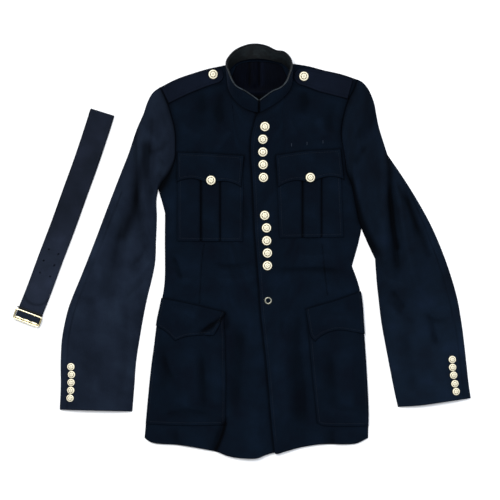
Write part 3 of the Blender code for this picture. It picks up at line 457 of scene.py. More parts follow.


# Creases and soft troughs. Each is a line, the width of its steep and of its soft side, its
# rise, and "end" or "both" where it runs off the cloth at its last point or at both.
bodyCreases = [
    ([(-54, 244), (-68, 223), (-86, 197)], 2.6, 8, 1.1),
    ([(-74, 328), (-78, 288), (-76, 246)], 9, 14, -1.6),
    ([(-118, 330), (-112, 290), (-120, 244)], 9, 15, -1.1),
    ([(-160, 262), (-140, 240), (-112, 226)], 5, 10, 0.9),
    ([(58, 270), (68, 250), (76, 230)], 2.6, 8, 1.0),
    ([(88, 328), (92, 300), (88, 268)], 9, 14, -1.6),
    ([(118, 270), (126, 248), (132, 228)], 6, 10, 1.0),
    ([(150, 300), (142, 262), (146, 232)], 7, 12, -1.0),
    ([(-40, 120), (-26, 76), (-30, 26)], 7, 12, -0.9),
    ([(-176, 116), (-172, 70), (-180, 22)], 5, 9, 1.0),
    ([(18, -30), (60, -34), (120, -33), (184, -40)], 3.5, 9, -1.5),
    ([(60, -8), (110, -12), (168, -6)], 5, 9, 0.9),
    ([(-180, -6), (-166, -18), (-152, -66)], 3, 8, -1.4),
    ([(-176, -36), (-160, -52), (-128, -60)], 3, 8, 1.0),
    ([(-100, -20), (-60, -28), (-6, -22)], 4, 9, -1.0),
    ([(-96, -52), (-50, -58), (0, -50)], 4, 10, 0.7),
    ([(80, -100), (78, -200), (86, -300), (84, -392)], 10, 18, -1.8),
    ([(48, -120), (46, -230), (56, -350)], 9, 16, 1.1),
    ([(-34, -130), (-40, -230), (-50, -330)], 10, 18, -1.3),
    ([(-62, -326), (-70, -350), (-86, -398)], 3.5, 9, -3.0, "end"),
    ([(-8, -300), (-12, -350), (-6, -400)], 10, 16, 1.2, "end"),
    ([(150, -352), (146, -370), (148, -388)], 6, 12, -1.2, "end"),
    ([(-160, -348), (-166, -368), (-160, -386)], 6, 12, -1.0, "end"),
    ([(-196, -170), (-188, -230), (-192, -300)], 8, 14, -0.8),
    ([(-150, -190), (-130, -240), (-136, -320)], 12, 20, 0.8),
    ([(160, -180), (172, -240), (166, -320)], 12, 20, 0.8),
]
darts = {
    "right": [(-110.4, 15.4), (-116, -35.8), (-119, -102)],
    "left": [(126.2, 15.4), (131, -35.8), (137, -86)],
}
bodyForm = {"shoulderFall": 85.0, "overlapFade": 34.0, "creaseScale": 1.45}


def frontTop(x, y):
    right, left = levelAt(rightProfile, y), levelAt(leftProfile, y)
    across = np.clip((x - right) / (left - right), 0, 1)
    arch = levelAt(crown[1:], y) * (1 - np.abs(2 * across - 1) ** 4)
    reach = (x / neckRise["halfX"]) ** 2 + ((y - neckRise["y"]) / neckRise["halfY"]) ** 2
    neck = neckRise["height"] * np.exp(-reach)
    inside = ease(np.minimum(1, (1 - np.abs(2 * across - 1)) * 4))
    folds = (foldRise(frontFolds, x, y) + creaseRise(bodyCreases, x, y)
             + 0.3 * ripple(x, y, 95, 3)) * inside
    fall = ease((levelAt(shoulderTop, x) - y) / bodyForm["shoulderFall"])
    return walls["back"] + gaps["layer"] + walls["front"] + (arch + neck + folds) * fall


def leftFrontTop(x, y):
    inner = levelAt(innerProfile, y)
    covered = 1 - ease((x - inner - 2) / bodyForm["overlapFade"])
    return frontTop(x, y) + (walls["front"] + gaps["overlap"]) * covered


tops = {"right": frontTop, "left": leftFrontTop}


# Shells of cloth


def foldShade(creases, x, y):
    # painted shade in the troughs, a little painted light along the ridges
    rise = creaseRise(creases, x, y)
    return np.clip(-rise / 3.6, -0.28, 0.6)


def alongRow(grid):
    # distance of each grid point from the start and from the end of its row
    steps = np.linalg.norm(np.diff(grid, axis=1), axis=2)
    first = np.concatenate([np.zeros((grid.shape[0], 1)), np.cumsum(steps, 1)], 1)
    return first, first[:, -1:] - first


def reachFromEdge(mid, sides="lrbt"):
    # distance from the nearest of the left, right, bottom and top edges that are named
    left, right = alongRow(mid)
    low, high = (away.T for away in alongRow(mid.transpose(1, 0, 2)))
    found = {"l": left, "r": right, "b": low, "t": high}
    return np.min([found[s] for s in sides], axis=0)


def gridNormals(mid):
    return unit(np.cross(np.gradient(mid, axis=1), np.gradient(mid, axis=0)))


def newObject(name, data):
    obj = bpy.data.objects.new(name, data)
    bpy.context.scene.collection.objects.link(obj)
    return obj


def register(obj, replaced=()):
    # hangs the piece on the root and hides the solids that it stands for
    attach(obj, "root")
    if replaced:
        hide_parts(*replaced)


def meshObject(name, points, faces, finish, uv=None, **shares):
    mesh = bpy.data.meshes.new(name)
    mesh.from_pydata((np.asarray(points) * mm).tolist(), [], faces)
    if uv is not None:
        loops = np.zeros(len(mesh.loops), int)
        mesh.loops.foreach_get("vertex_index", loops)
        layer = mesh.uv_layers.new(name="cloth")
        layer.data.foreach_set("uv", (np.asarray(uv)[loops] * mm).ravel())
    for key, values in shares.items():
        mesh.attributes.new(key, "FLOAT", "POINT").data.foreach_set("value", values)
    mesh.shade_smooth()
    mesh.materials.append(finish)
    return newObject(name, mesh)


def clothShell(name, mid, wall, finish, shade, rim):
    # a closed wall of cloth round a middle surface, with its edges rolled round
    rows, columns = mid.shape[:2]
    normal = gridNormals(mid)
    reach = reachFromEdge(mid)
    roll = np.sqrt(1 - (1 - np.clip(reach / (wall / 2), 0, 1)) ** 2)
    upper = mid + normal * ((wall / 2) * roll)[..., None]
    lower = mid - normal * ((wall / 2) * roll)[..., None]
    # painted shade along every rolled edge, rim deep, added to the shade given
    shade = np.clip(shade + rim * (1 - ease((reach - 0.8) / 1.3)), -1.0, 1)
    upperId = np.arange(rows * columns).reshape(rows, columns)
    lowerId = upperId.copy()
    lowerId[1:-1, 1:-1] = rows * columns + np.arange((rows - 2) * (columns - 2)).reshape(rows - 2, -1)
    points = np.vstack([upper.reshape(-1, 3), lower[1:-1, 1:-1].reshape(-1, 3)])

    def quads(ids, flip):
        parts = [ids[:-1, :-1], ids[:-1, 1:], ids[1:, 1:], ids[1:, :-1]]
        return np.stack(parts[::-1] if flip else parts, -1).reshape(-1, 4).tolist()

    steps = np.linalg.norm(np.diff(mid, axis=1), axis=2).mean(0)
    width = np.concatenate([[0], np.cumsum(steps)])
    steps = np.linalg.norm(np.diff(mid, axis=0), axis=2).mean(1)
    length = np.concatenate([[0], np.cumsum(steps)])
    flat = np.stack(np.meshgrid(width, length), -1)
    uv = np.vstack([flat.reshape(-1, 2), flat[1:-1, 1:-1].reshape(-1, 2)])
    shade = np.concatenate([shade.ravel(), shade[1:-1, 1:-1].ravel()])
    obj = meshObject(name, points, quads(upperId, False) + quads(lowerId, True), finish, uv,
                     shade=shade)
    area = np.linalg.norm(np.cross(np.diff(mid, axis=1)[:-1], np.diff(mid, axis=0)[:, :-1]),
                          axis=2).sum()
    return obj, area * mm * mm


def addCloth(name, mid, wall, flat, replaced, finish=None,
             shade=0.0, rim=0.85):
    obj, found = clothShell(name, mid, wall, finish or wool, shade, rim)
    register(obj, replaced)
    flat = (flat[0] * mm, flat[1] * mm)
    share = found / (flat[0] * flat[1])
    print(f"{name}: {len(obj.data.polygons)} faces, {found:.4f} square metres, {share:.2f} of its cut")
    return obj


stitchRuns = []


def noteStitches(line, height=None, lift=0.0, every=3.2):
    # notes a row of stitches along a line, which is a plan to be laid on a height where one is given
    marks = lengthsAlong(line)
    wants = np.arange(every / 2, marks[-1], every)
    if len(wants) < 2:
        return
    centres = np.stack([np.interp(wants, marks, column) for column in line.T], -1)
    if height is not None:
        centres = np.column_stack([centres, height(*centres.T) + lift])
    stitchRuns.append((centres, unit(np.gradient(centres, axis=0))))


def buildStitches(name, runs, finish, length=2.1, thick=0.32):
    # every stitch is a short faceted grain of thread
    ring = np.array([(math.cos(a), math.sin(a)) for a in np.arange(5) * 2 * math.pi / 5])
    points, faces = [], []
    for centres, along in runs:
        for centre, ahead in zip(centres, along):
            side = np.cross((0, 0, 1.0), ahead)
            side /= max(np.linalg.norm(side), 1e-9)
            up = np.cross(ahead, side)
            first = len(points)
            for share in (-0.28, 0.28):
                points += [centre + ahead * length * share + (side * c + up * s) * thick
                           for c, s in ring]
            points += [centre - ahead * length / 2 - up * 0.2, centre + ahead * length / 2 - up * 0.2]
            for i in range(5):
                j = (i + 1) % 5
                faces += [(first + i, first + j, first + 5 + j, first + 5 + i),
                          (first + j, first + i, first + 10),
                          (first + 5 + i, first + 5 + j, first + 11)]
    register(meshObject(name, points, faces, finish))


# Panels of the body

frontForm = {"width": 262, "length": 790, "step": 2.6, "stitch": 6.5}
# how far under panels are set in, and the width and height of the edges that roll down to them
edgeForm = {"setIn": 2.6, "roll": 5.0, "floor": 1.3}
# heights at which the armholes leave the sides, for the fronts and for the panels under them
armholeY = {"right": 126, "left": 138}
armpitY = {"right": 110, "left": 34}


def gridPlan(patchAt, width, length, step, marks=()):
    return patchAt(stations(width, step, marks=marks), stations(length, step))


def rollDown(z, away, share, low):
    # turns the cloth down to meet the panel under it
    return z + (low - z) * (1 - ease(away / share)) ** 1.5


# painted shade in deep places that the light barely reaches: line, darkness, reach
paintedFoldShade = [
    ([(-66, -343), (-71, -362), (-78, -380), (-88, -400)], 0.9, 3.6),
    ([(-114, -158), (-105, -154), (-96, -147)], 0.5, 8.0),
    ([(-95, -146), (-84, -137), (-74, -129)], 0.35, 4.5),
    ([(-68, -124), (-65, -138), (-66, -150)], 0.7, 6.5),
    ([(-206, 126), (-195, 132), (-187, 146), (-183, 166)], 0.95, 10.0),
    ([(200, 60), (193, 100), (187, 140), (178, 170)], 0.6, 7.0),
    ([(46, -140), (44, -155), (48, -170)], 0.35, 5.0),
]


def paintedEdgeShade(side, x, y):
    # painted shade where a pocket, a flap, a strap or the collar meets the front, and in the deep
    # folds
    chest, lower = chestPockets[side], lowerPockets[side]
    lines = [
        ([chest["pocketTop"][0], chest["pocketBottom"][0]], 0.16),
        ([chest["pocketTop"][1], chest["pocketBottom"][1]], 0.16),
        (chest["pocketBottom"], 0.16), (chest["flapTop"], 0.5),
        ([chest["flapTop"][0], chest["flapBottom"][0]], 0.5),
        ([chest["flapTop"][-1], chest["flapBottom"][1]], 0.5),
        (lower["inner"], 0.5), (lower["bottom"], 0.1), (lower["flapTop"], 0.6),
    ]
    total = np.zeros_like(x)
    for line, depth in lines:
        total = np.maximum(total, depth * seamLine(line, x, y, 2.6))
    rows = np.array(shoulderStraps[side][1:])
    total = np.maximum(total, 0.45 * seamLine(rows[:, :2] - [[0, 19.5]], x, y, 4.0))
    neck = rightNeckline[1] if side == "right" else leftNeckline[0]
    out = [(px * 1.05, py - 2.5) for px, py in neck]
    for line, depth, width in paintedFoldShade:
        total = np.maximum(total, depth * seamLine(line, x, y, width))
    return np.maximum(total, 0.6 * seamLine(out, x, y, 4.0))


def buildFronts():
    cuts = {
        "right": (rightHem, rightShoulder + rightNeckline, rightSide + rightArmhole,
                  rightFrontEdge),
        "left": (leftHem, leftNeckline + leftShoulder, leftFrontEdge,
                 leftSide + leftContact + leftArmhole),
    }
    for side, edges in cuts.items():
        patchAt = fillPatch(*(edgeLine(e) for e in edges))
        plan = gridPlan(patchAt, frontForm["width"], frontForm["length"], frontForm["step"])
        x, y = plan[..., 0], plan[..., 1]
        z = tops[side](x, y) - walls["front"] / 2
        fromStart, fromEnd = alongRow(plan)
        outer, inner = (fromStart, fromEnd) if side == "right" else (fromEnd, fromStart)
        z -= 0.5 * seamLine(darts[side], x, y, 1.1)
        z -= 0.35 * bell(inner - frontForm["stitch"])
        below = ease((armholeY[side] - y) / 10)
        z = z * (1 - below) + rollDown(z, outer, edgeForm["roll"], edgeForm["floor"]) * below
        z -= (1 - below) * (1.2 * (1 - ease(outer / 3.5)) + 1.1 * bell(outer / 12))
        if side == "right":
            # pressed down just beside the edge that lies over it
            beside = x - levelAt(sideProfile(leftFrontEdge), y)
            z -= 1.3 * bell((beside + 1) / 6)
        # painted shade in the folds, at the patches' edges, along the darts and along the armhole,
        # lighter towards the hem; on the right front a painted shadow beside the edge that lies over
        # it
        shade = foldShade(bodyCreases, x, y) + paintedEdgeShade(side, x, y)
        shade -= 0.14 * ease((20 - y) / 120)
        shade += 0.7 * seamLine(darts[side], x, y, 1.3)
        shade += 0.5 * (1 - below) * bell(outer / 7)
        if side == "right":
            shade += 0.75 * bell((beside + 1.2) / 2.4)
        mid = np.stack([x, y, z], -1)
        addCloth(f"{side}FrontPanel", mid, walls["front"], (310, 815),
                 (f"front_{side}",), shade=shade)
        if side == "left":
            # the stitched run leaves out both ends of the edge, where it curves
            run = smoothRun(leftFrontEdge[0])[4:-6] + np.array([frontForm["stitch"], 0])
            noteStitches(run, leftFrontTop, lift=-0.2)


def flatPanel(name, corners, wall, flat, replaced, inset, seams=(), size=(420, 780),
              step=5.6, low=0.0, finish=None, relief=None, shadeAt=None):
    plan = gridPlan(fillPatch(*(edgeLine(e) for e in corners)), size[0], size[1], step)
    fromStart = alongRow(plan)[0]
    width = fromStart[:, -1:]
    y = plan[..., 1]
    first, last = (side(y) if callable(side) else side for side in inset)
    x = plan[..., 0] + first * (1 - fromStart / width) - last * fromStart / width
    z = np.full(x.shape, low + wall / 2)
    for seam in seams:
        z += 0.5 * seamLine(seam, x, y, 1.4)
    if relief is not None:
        z += relief(x, y)
    shade = 0.0 if shadeAt is None else shadeAt(x, y)
    addCloth(name, np.stack([x, y, z], -1), wall, flat, replaced, finish, shade)


def insetBelow(armpit):
    # set in under the rolled side, and out to the seam above the armpit
    return lambda y: -0.6 + (edgeForm["setIn"] + 0.6) * ease((armpit - y) / 16)


def buildBack():
    flatPanel(
        "backPanel",
        (backwards(backHem), rightShoulder + backNeckline + leftShoulder, rightSide + rightArmhole,
         leftSide + leftContact + leftArmhole),
        walls["back"], (460, 800), ("back",),
        (insetBelow(armpitY["right"]), insetBelow(armpitY["left"])),
        seams=[
            [(0, -384), (0, -60), (0, 380)],
            [(-150, 200), (-118, 60), (-104, -60), (-128, -372)],
            [(150, 200), (118, 60), (104, -60), (128, -372)],
        ],
    )


# the neck's lining: its box pleat's two folds, where the pleat begins, and the body lining's edge
liningForm = {"folds": (-19.0, 0.4), "pleatY": 328, "edgeY": 323, "edgeCurve": 0.002}


def liningEdge(x, y):
    # how far above the rolled edge of the body lining a place is
    return y - liningForm["edgeY"] - liningForm["edgeCurve"] * x * x + 3


def boxPleat(x, y):
    first, last = liningForm["folds"]
    above = ease((y - liningForm["pleatY"]) / 8)
    pleat = sum(-0.7 * bell((x - place) / 1.3) for place in liningForm["folds"])
    lifted = 0.9 * ease((x - first) / 2) * ease((last - x) / 2)
    return (pleat + lifted) * above + bell(liningEdge(x, y) / 2.2) + 0.25 * ripple(x, y, 40, 8)


def liningShade(x, y):
    # painted shade in the pleat's folds and low in the neck, painted light on the pleat's turn and the
    # rolled edge
    above = ease((y - liningForm["pleatY"]) / 8)
    folds = sum(0.9 * bell((x - place) / 2.2) for place in liningForm["folds"])
    return (above * folds - 0.9 * above * bell((x - 6.5) / 4) - 0.7 * bell(liningEdge(x, y) / 2.6)
            + 0.8 * ease((316 - y) / 6))


def buildNeckLining():
    corners = (
        [[(-56, 236), (56, 236)]], [[(-46, 372), (-30, 379), (0, 381), (30, 378), (46, 372)]],
        [[(-56, 236), (-57, 300), (-55, 345), (-46, 372)]],
        [[(56, 236), (58, 300), (56, 345), (46, 372)]],
    )
    flatPanel("neckLining", corners, walls["lining"], (116, 146), ("neck_lining",),
              (0.0, 0.0), size=(112, 145), step=3.0, low=walls["back"] + gaps["layer"],
              finish=satin, relief=boxPleat, shadeAt=liningShade)


# Sleeves

rightSleeveOuter = [
    [
        (-399, -315.5), (-397, -268), (-397.2, -220), (-394.4, -172), (-384.8, -124), (-374.2, -92),
        (-354.4, -44), (-329.2, 20), (-305, 84), (-280.4, 148), (-261.4, 196), (-245.2, 244),
        (-231.4, 276), (-223.2, 300), (-213, 318.5), (-197.7, 330.5),
    ],
]
rightSleeveInner = [
    [
        (-253.6, -319), (-249.6, -268), (-246, -220), (-238.8, -172), (-230.4, -124), (-223.8, -92),
        (-209.2, -28), (-206.8, 20), (-205.4, 68), (-206.6, 100), (-202.6, 126),
    ],
]
rightCuff = [[(-399, -315.5), (-253.6, -319)]]
leftSleeveOuter = [
    [
        (424, -292.4), (420.2, -268), (416.6, -236), (411.4, -188), (405.2, -140), (396.6, -92),
        (383, -44), (365.8, 4), (345, 52), (319, 100), (289.2, 148), (257, 195),
    ],
    [
        (257, 195), (246.4, 228), (239.2, 252), (234.4, 276), (229.8, 300), (219.5, 325), (208.4, 339),
        (197.7, 345.5),
    ],
]
leftSleeveInner = [
    [(278, -310), (268.8, -268), (253.4, -188), (244.8, -140), (239, -92), (235.6, -60), (232.4, -14)],
    [(232.4, -14), (216.4, 20), (205.1, 48)], [(205.1, 48), (198.7, 71), (192.3, 106), (185.9, 138)],
]
leftCuff = [[(424, -292.4), (369, -300.4), (322, -307), (278, -310)]]
rightSleeveFolds = [
    ("x0", "y0", "x1", "y1", "halfWidth", "rise"), (-234, 250, -229, 20, 11, 5),
    (-246, 200, -243, 50, 11, -4.2), (-262, 94, -309, -90, 17, -3.4), (-284, 110, -352, -60, 17, 2.6),
    (-266, -60, -268, -180, 14, -2.4), (-330, -190, -318, -290, 22, 1.6),
]
leftSleeveFolds = [
    ("x0", "y0", "x1", "y1", "halfWidth", "rise"), (247, 226, 249, -16, 11, 5),
    (263, 150, 282, -52, 11, -5), (268, 166, 318, -74, 10, 4.4), (290, 130, 318, 30, 12, -3.2),
    (346, -130, 358, -186, 12, -3), (276, -84, 300, -190, 16, -2.4), (322, -96, 366, -150, 13, 2.6),
]
rightSleeveCreases = [
    ([(-245, 284), (-246, 200), (-244, 120), (-242, 44)], 4, 9, -1.3),
    ([(-236, 258), (-238, 201), (-236, 149), (-232, 84)], 5, 8, 1.0),
    ([(-262, 100), (-275, 62), (-292, -24), (-310, -92)], 5, 12, -1.1),
    ([(-270, -80), (-266, -154), (-274, -296)], 6, 12, -0.7),
    ([(-222, 20), (-236, -10), (-262, -34)], 3.5, 8, -1.1),
    ([(-216, -10), (-232, -40), (-266, -72)], 4, 9, 0.8),
    ([(-226, -50), (-246, -74), (-276, -96)], 3.5, 9, -0.8),
    ([(-372, -80), (-352, -92), (-322, -96)], 4, 9, -0.8),
    ([(-340, 0), (-322, -30), (-316, -70)], 5, 10, 0.7),
    ([(-250, 262), (-226, 242), (-200, 214)], 5, 9, 0.7),
    ([(-214, 208), (-196, 182), (-182, 168)], 4, 8, -0.7),
    ([(-296, 60), (-312, 20), (-336, -30)], 9, 14, 0.6),
    ([(-330, -150), (-344, -220), (-340, -300)], 10, 18, -0.6),
]
leftSleeveCreases = [
    ([(258, 150), (263, 100), (272, 20), (282, -56)], 4, 8, -2.4),
    ([(247, 226), (251, 96), (249, -14)], 6, 9, 1.5),
    ([(264, 172), (280, 96), (294, 7), (317, -70)], 3.5, 8, 1.9),
    ([(290, 130), (304, 80), (322, 24)], 6, 11, -1.4),
    ([(346, -134), (350, -160), (358, -192)], 3, 8, -1.8),
    ([(330, -120), (352, -136), (382, -134)], 3.5, 8, -1.5),
    ([(262, -74), (272, -84), (296, -118)], 3.5, 8, -1.5),
    ([(246, -44), (262, -58), (296, -66)], 4, 8, 1.2),
    ([(250, -100), (274, -124), (306, -132)], 4, 9, 1.1),
    ([(290, -150), (300, -220), (312, -290)], 9, 16, -1.2),
    ([(360, -200), (366, -250), (372, -292)], 9, 14, 0.9),
    ([(232, 300), (226, 262), (206, 216)], 6, 10, -1.3),
    ([(216, 214), (200, 190), (188, 172)], 4, 8, -1.0),
    ([(340, 60), (356, 10), (372, -50)], 8, 13, 0.9),
]
# painted shade along the sleeves' folds, and painted light where the darkness is below 0: line,
# darkness, reach
paintedSleeveShade = {
    "right": [
        ([(-226, 210), (-240, 134), (-253, 84), (-270, 34)], 0.8, 12.0),
        ([(-262, 66), (-273, 28), (-286, -36), (-295, -84)], 0.3, 11.0),
        ([(-214, 262), (-219, 200), (-223, 150)], 0.3, 4.0),
        ([(-204, 196), (-208, 150), (-212, 90)], -0.3, 7.0),
        ([(-186, 218), (-196, 206), (-214, 200)], 0.35, 6.0),
        ([(-200, 152), (-206, 140), (-214, 120)], 0.4, 7.0),
        ([(-330, 10), (-322, -60), (-316, -130)], -0.25, 12.0),
        ([(-250, 20), (-268, -50), (-282, -120)], -0.2, 12.0),
    ],
    "left": [
        ([(256, 196), (261, 160), (266, 100), (269, 56), (278, 10)], 0.8, 7.0),
        ([(280, 128), (300, 92), (322, 40), (338, -6)], 0.45, 6.5),
        ([(270, 172), (288, 118), (300, 64), (310, 10)], -0.28, 5.0),
        ([(304, 130), (326, 74), (346, 10)], -0.3, 5.0),
        ([(192, 140), (222, 110), (242, 60)], -0.1, 9.0),
        ([(272, -102), (284, -124), (306, -140)], 0.4, 6.0),
        ([(336, -132), (344, -156), (356, -176)], 0.2, 8.0),
        ([(220, 330), (214, 280), (198, 232)], 0.35, 8.0),
    ],
}

sleeveForm = {"width": 158, "length": 650, "toHead": 600, "crown": 7.5, "edgePower": 3.4,
              "fade": 6.0, "rest": 0.4, "headShare": 0.10, "crownLeft": 0.25, "foldsLeft": 0.2}
hindSeams = {
    "right": [(-384, -312), (-383, -268), (-383, -220), (-380, -172), (-370, -122), (-340, -46),
              (-306, 40), (-274, 120)],
    "left": [(302.6, 118.4), (329.4, 56), (356, -15.4), (378.4, -91.4), (394, -158),
             (400.8, -207.4), (408.6, -287.8)],
}


def splitArmhole(stretches, dx):
    # the armhole moved by dx: its stretch under the arm and its stretch up to the shoulder
    steps, underarmPoints = 4, 3
    line = smoothRun(stretches[0], steps) + np.array([dx, 0])
    points = [tuple(p) for p in line]
    return [points[:underarmPoints * steps + 1]], [points[underarmPoints * steps:]]


rightUnderarm, rightHead = splitArmhole(rightArmhole, -gaps["seam"])
leftUnderarm, leftHead = splitArmhole(leftArmhole, gaps["seam"])
sleeves = {
    "right": {"start": rightSleeveOuter, "end": rightSleeveInner + rightUnderarm,
              "low": rightCuff, "high": backwards(rightHead),
              "folds": rightSleeveFolds, "creases": rightSleeveCreases},
    "left": {"start": leftSleeveInner + leftUnderarm, "end": leftSleeveOuter,
             "low": backwards(leftCuff), "high": leftHead,
             "folds": leftSleeveFolds, "creases": leftSleeveCreases},
}


def sleeveRise(side, u, v, x, y):
    form, data = sleeveForm, sleeves[side]
    rounding = 1 - np.abs(2 * u - 1) ** form["edgePower"]
    head = ease((1 - v) / form["headShare"])
    rise = form["crown"] * rounding * (form["crownLeft"] + (1 - form["crownLeft"]) * head)
    fade = ease(np.minimum(u, 1 - u) * form["fade"])
    fade = fade * (form["foldsLeft"] + (1 - form["foldsLeft"]) * head)
    rise += foldRise(data["folds"], x, y) * fade
    rise += (creaseRise(data["creases"], x, y) + 0.35 * ripple(x, y, 80, 5)) * fade
    rise -= 0.7 * seamLine(hindSeams[side], x, y, 1.1)
    return rise


def buildSleeves():
    for side, data in sleeves.items():
        start, end, low, high = (data[key] for key in ("start", "end", "low", "high"))
        patchAt = fillPatch(*(edgeLine(e) for e in (low, high, start, end)))
        across, along = stations(sleeveForm["width"], 2.6), stations(sleeveForm["length"], 2.8)
        plan = patchAt(across, along)
        x, y = plan[..., 0], plan[..., 1]
        u, v = np.broadcast_to(across[None, :], x.shape), np.broadcast_to(along[:, None], x.shape)
        z = walls["sleeve"] * 1.5 + sleeveForm["rest"] + sleeveRise(side, u, v, x, y)
        fromStart, fromEnd = alongRow(plan)
        edge = np.minimum(fromStart, fromEnd)
        z = rollDown(z, edge, edgeForm["roll"], edgeForm["floor"])
        fromHead = (1 - v) * sleeveForm["toHead"]
        z += 2.2 * bell((fromHead - 11) / 8) * ease(edge / 14)
        z -= 1.1 * (1 - ease(fromHead / 3)) * ease(edge / 8)
        # painted shade in the folds, along the hind seam, at the armhole and along the inner edge near
        # the armpit; painted light towards the cuff
        shade = foldShade(data["creases"], x, y) + 0.6 * seamLine(hindSeams[side], x, y, 1.4)
        shade += 0.6 * bell(fromHead / 6)
        if side == "right":
            shade += 0.9 * (1 - ease((fromEnd - 3) / 13)) * ease((y - 74) / 44)
            shade -= 0.35 * ease((1 - v) / 0.55)
        else:
            shade += (0.95 * (1 - ease((fromStart - 8) / 15)) * ease((y + 24) / 36)
                      * ease((176 - y) / 40))
            shade -= 0.75 * ease((0.5 - v) / 0.35)
        for line, depth, width in paintedSleeveShade[side]:
            shade += depth * seamLine(line, x, y, width)
        mid = np.stack([x, y, z], -1)
        addCloth(f"{side}TopSleeve", mid, walls["sleeve"], (200, 700),
                 (f"top_sleeve_{side}",), finish=paintedLightSleeveWools[side], shade=shade)
        sets = (edgeForm["setIn"], insetBelow(armpitY[side]))[::1 if side == "right" else -1]
        flatPanel(f"{side}UnderSleeve", (low, high, start, end), walls["sleeve"], (180, 700),
                  (f"under_sleeve_{side}",),
                  sets, size=(150, 640), seams=[hindSeams[side]], finish=paintedLightSleeveWools[side])


# Collar

collar = [
    ("baseX", "baseY", "rimX", "rimY", "rimZ"), (-0.6, 278, -0.6, 299.5, 46),
    (-16, 281.8, -12.6, 308.5, 45), (-35, 291, -29, 319.5, 44), (-50.5, 306.5, -45, 328, 43.5),
    (-60, 323, -54.5, 340, 43), (-63.6, 342, -62, 358, 42.5), (-63.6, 358, -66.4, 372, 41),
    (-57.5, 370, -62.5, 385.5, 38), (-41, 381.5, -47, 402, 34), (-22, 385.6, -24, 412, 31.5),
    (-3, 386.8, -3, 413.8, 31), (16, 385.6, 17, 409.5, 31.5), (32, 382.6, 33.5, 401.5, 33),
    (47, 378, 50, 398.5, 35), (59.5, 369, 62.5, 386.5, 38.5), (66, 356, 66.6, 371, 41),
    (66.6, 340, 61.5, 352, 42.5), (60.5, 323, 55, 337, 43), (45.5, 305.2, 43, 325.5, 43.5),
    (29, 294, 27, 318.5, 44), (13, 284.6, 12, 308, 45), (0.6, 278, 0.6, 299.5, 46),
]

collarForm = {"steps": 9, "belly": 0.8, "bindingWidth": 2.8, "bindingHeight": 1.8}


def neckSeat(x, y):
    # the height that the collar's base rests on, looked for on both sides of the neckline
    centre = np.array([0.0, 345.0])
    highest = walls["back"] + gaps["layer"]
    for setIn in (-1.0, 2.0, 5.0):
        way = centre - np.array([x, y])
        px, py = np.array([x, y]) + way / np.linalg.norm(way) * setIn
        if py < np.interp(px, *np.array(shoulderTop).T) + 3:
            top = leftFrontTop if px > -20 else frontTop
            highest = max(highest, float(top(np.array([px]), np.array([py]))[0]))
    return highest + gaps["seat"]


def collarLine():
    rows = np.array(collar[1:])
    flatBase, rim = (smoothRun(part, collarForm["steps"]) for part in (rows[:, :2], rows[:, 2:]))
    seat = np.array([neckSeat(x, y) for x, y in flatBase])
    # evened out over nine points, but never lower
    even = np.convolve(np.pad(seat, 4, mode="edge"), np.ones(9) / 9, mode="valid")
    seat = np.maximum(seat, even)
    base = np.column_stack([flatBase, seat])
    tangent = np.gradient(base, axis=0) + np.gradient(rim, axis=0)
    return base, rim, unit(np.cross(tangent, rim - base))


def collarMid(depth, low, high):
    base, rim, inward = collarLine()
    share = low + (high - low) * stations(26, 1.1, rim=0.8)
    belly = collarForm["belly"] * np.sin(np.pi * share)
    mid = base[None] * (1 - share[:, None, None]) + rim[None] * share[:, None, None]
    return mid + inward[None] * (depth - belly)[:, None, None]


def buildCollar():
    mid = collarMid(walls["collar"] / 2, -0.03, 1.0)
    ends = np.minimum(*(np.linalg.norm(mid - mid[:, [k]], axis=2) for k in (0, -1)))
    # painted shade at the two ends where they meet at the throat; lighter by 0.3 elsewhere
    shade = 0.9 * bell(ends / 2.4) - 0.3
    addCloth("standingCollar", mid, walls["collar"], (430, 46), ("collar",),
             shade=shade)
    depth = walls["collar"] + gaps["leather"] + walls["leather"] / 2
    mid = collarMid(depth, 0.06, 0.99)
    # painted shade on the facing, darkest at its base low in the neck
    height = np.linspace(0, 1, len(mid))[:, None] + 0 * mid[..., 0]
    addCloth("collarFacing", mid, walls["leather"], (420, 44),
             ("collar_lining",), finish=leather,
             shade=0.34 * (1 - ease(height / 0.6)), rim=0.2)
    base, rim, inward = collarLine()
    # the two ends stand a little apart at the throat
    marks = lengthsAlong(rim)
    wants = 1.5 + marks * (1 - 3.0 / marks[-1])
    base, rim, inward = (np.stack([np.interp(wants, marks, rows[:, k]) for k in range(3)], -1)
                         for rows in (base, rim, inward))
    up = unit(rim - base)
    ring = []
    width, height = collarForm["bindingWidth"] / 2, collarForm["bindingHeight"] / 2
    for angle in np.arange(14) * 2 * math.pi / 14:
        across = width * np.sign(math.cos(angle)) * abs(math.cos(angle)) ** 0.75
        along = height * np.sign(math.sin(angle)) * abs(math.sin(angle)) ** 0.75
        ring.append(rim + up * (gaps["binding"] + height + along - 0.3)
                    + inward * (width - 0.4 + across))
    # the binding darker towards the back of the neck
    dark = np.repeat(0.4 * ease((rim[:, 1] - 345) / 40), len(ring))
    loftTube("collarBinding", np.array(ring).transpose(1, 0, 2), edgeLeather, ("collar_binding",),
             "collar_leather", shade=dark)


def loftTube(name, rings, finish, replaced, slot, closed=False, **shares):
    # skins a row of rings and caps its ends, or joins the last ring to the first
    count, sides = rings.shape[:2]
    faces = []
    for i in range(count if closed else count - 1):
        for j in range(sides):
            a, b = i * sides, ((i + 1) % count) * sides
            k = (j + 1) % sides
            faces.append((a + j, a + k, b + k, b + j))
    if not closed:
        faces += [tuple(range(sides))[::-1], tuple((count - 1) * sides + j for j in range(sides))]
    obj = meshObject(name, rings.reshape(-1, 3), faces, finish, **shares)
    made = bmesh.new()
    made.from_mesh(obj.data)
    bmesh.ops.recalc_face_normals(made, faces=made.faces)
    made.to_mesh(obj.data)
    made.free()
    register(obj, replaced)


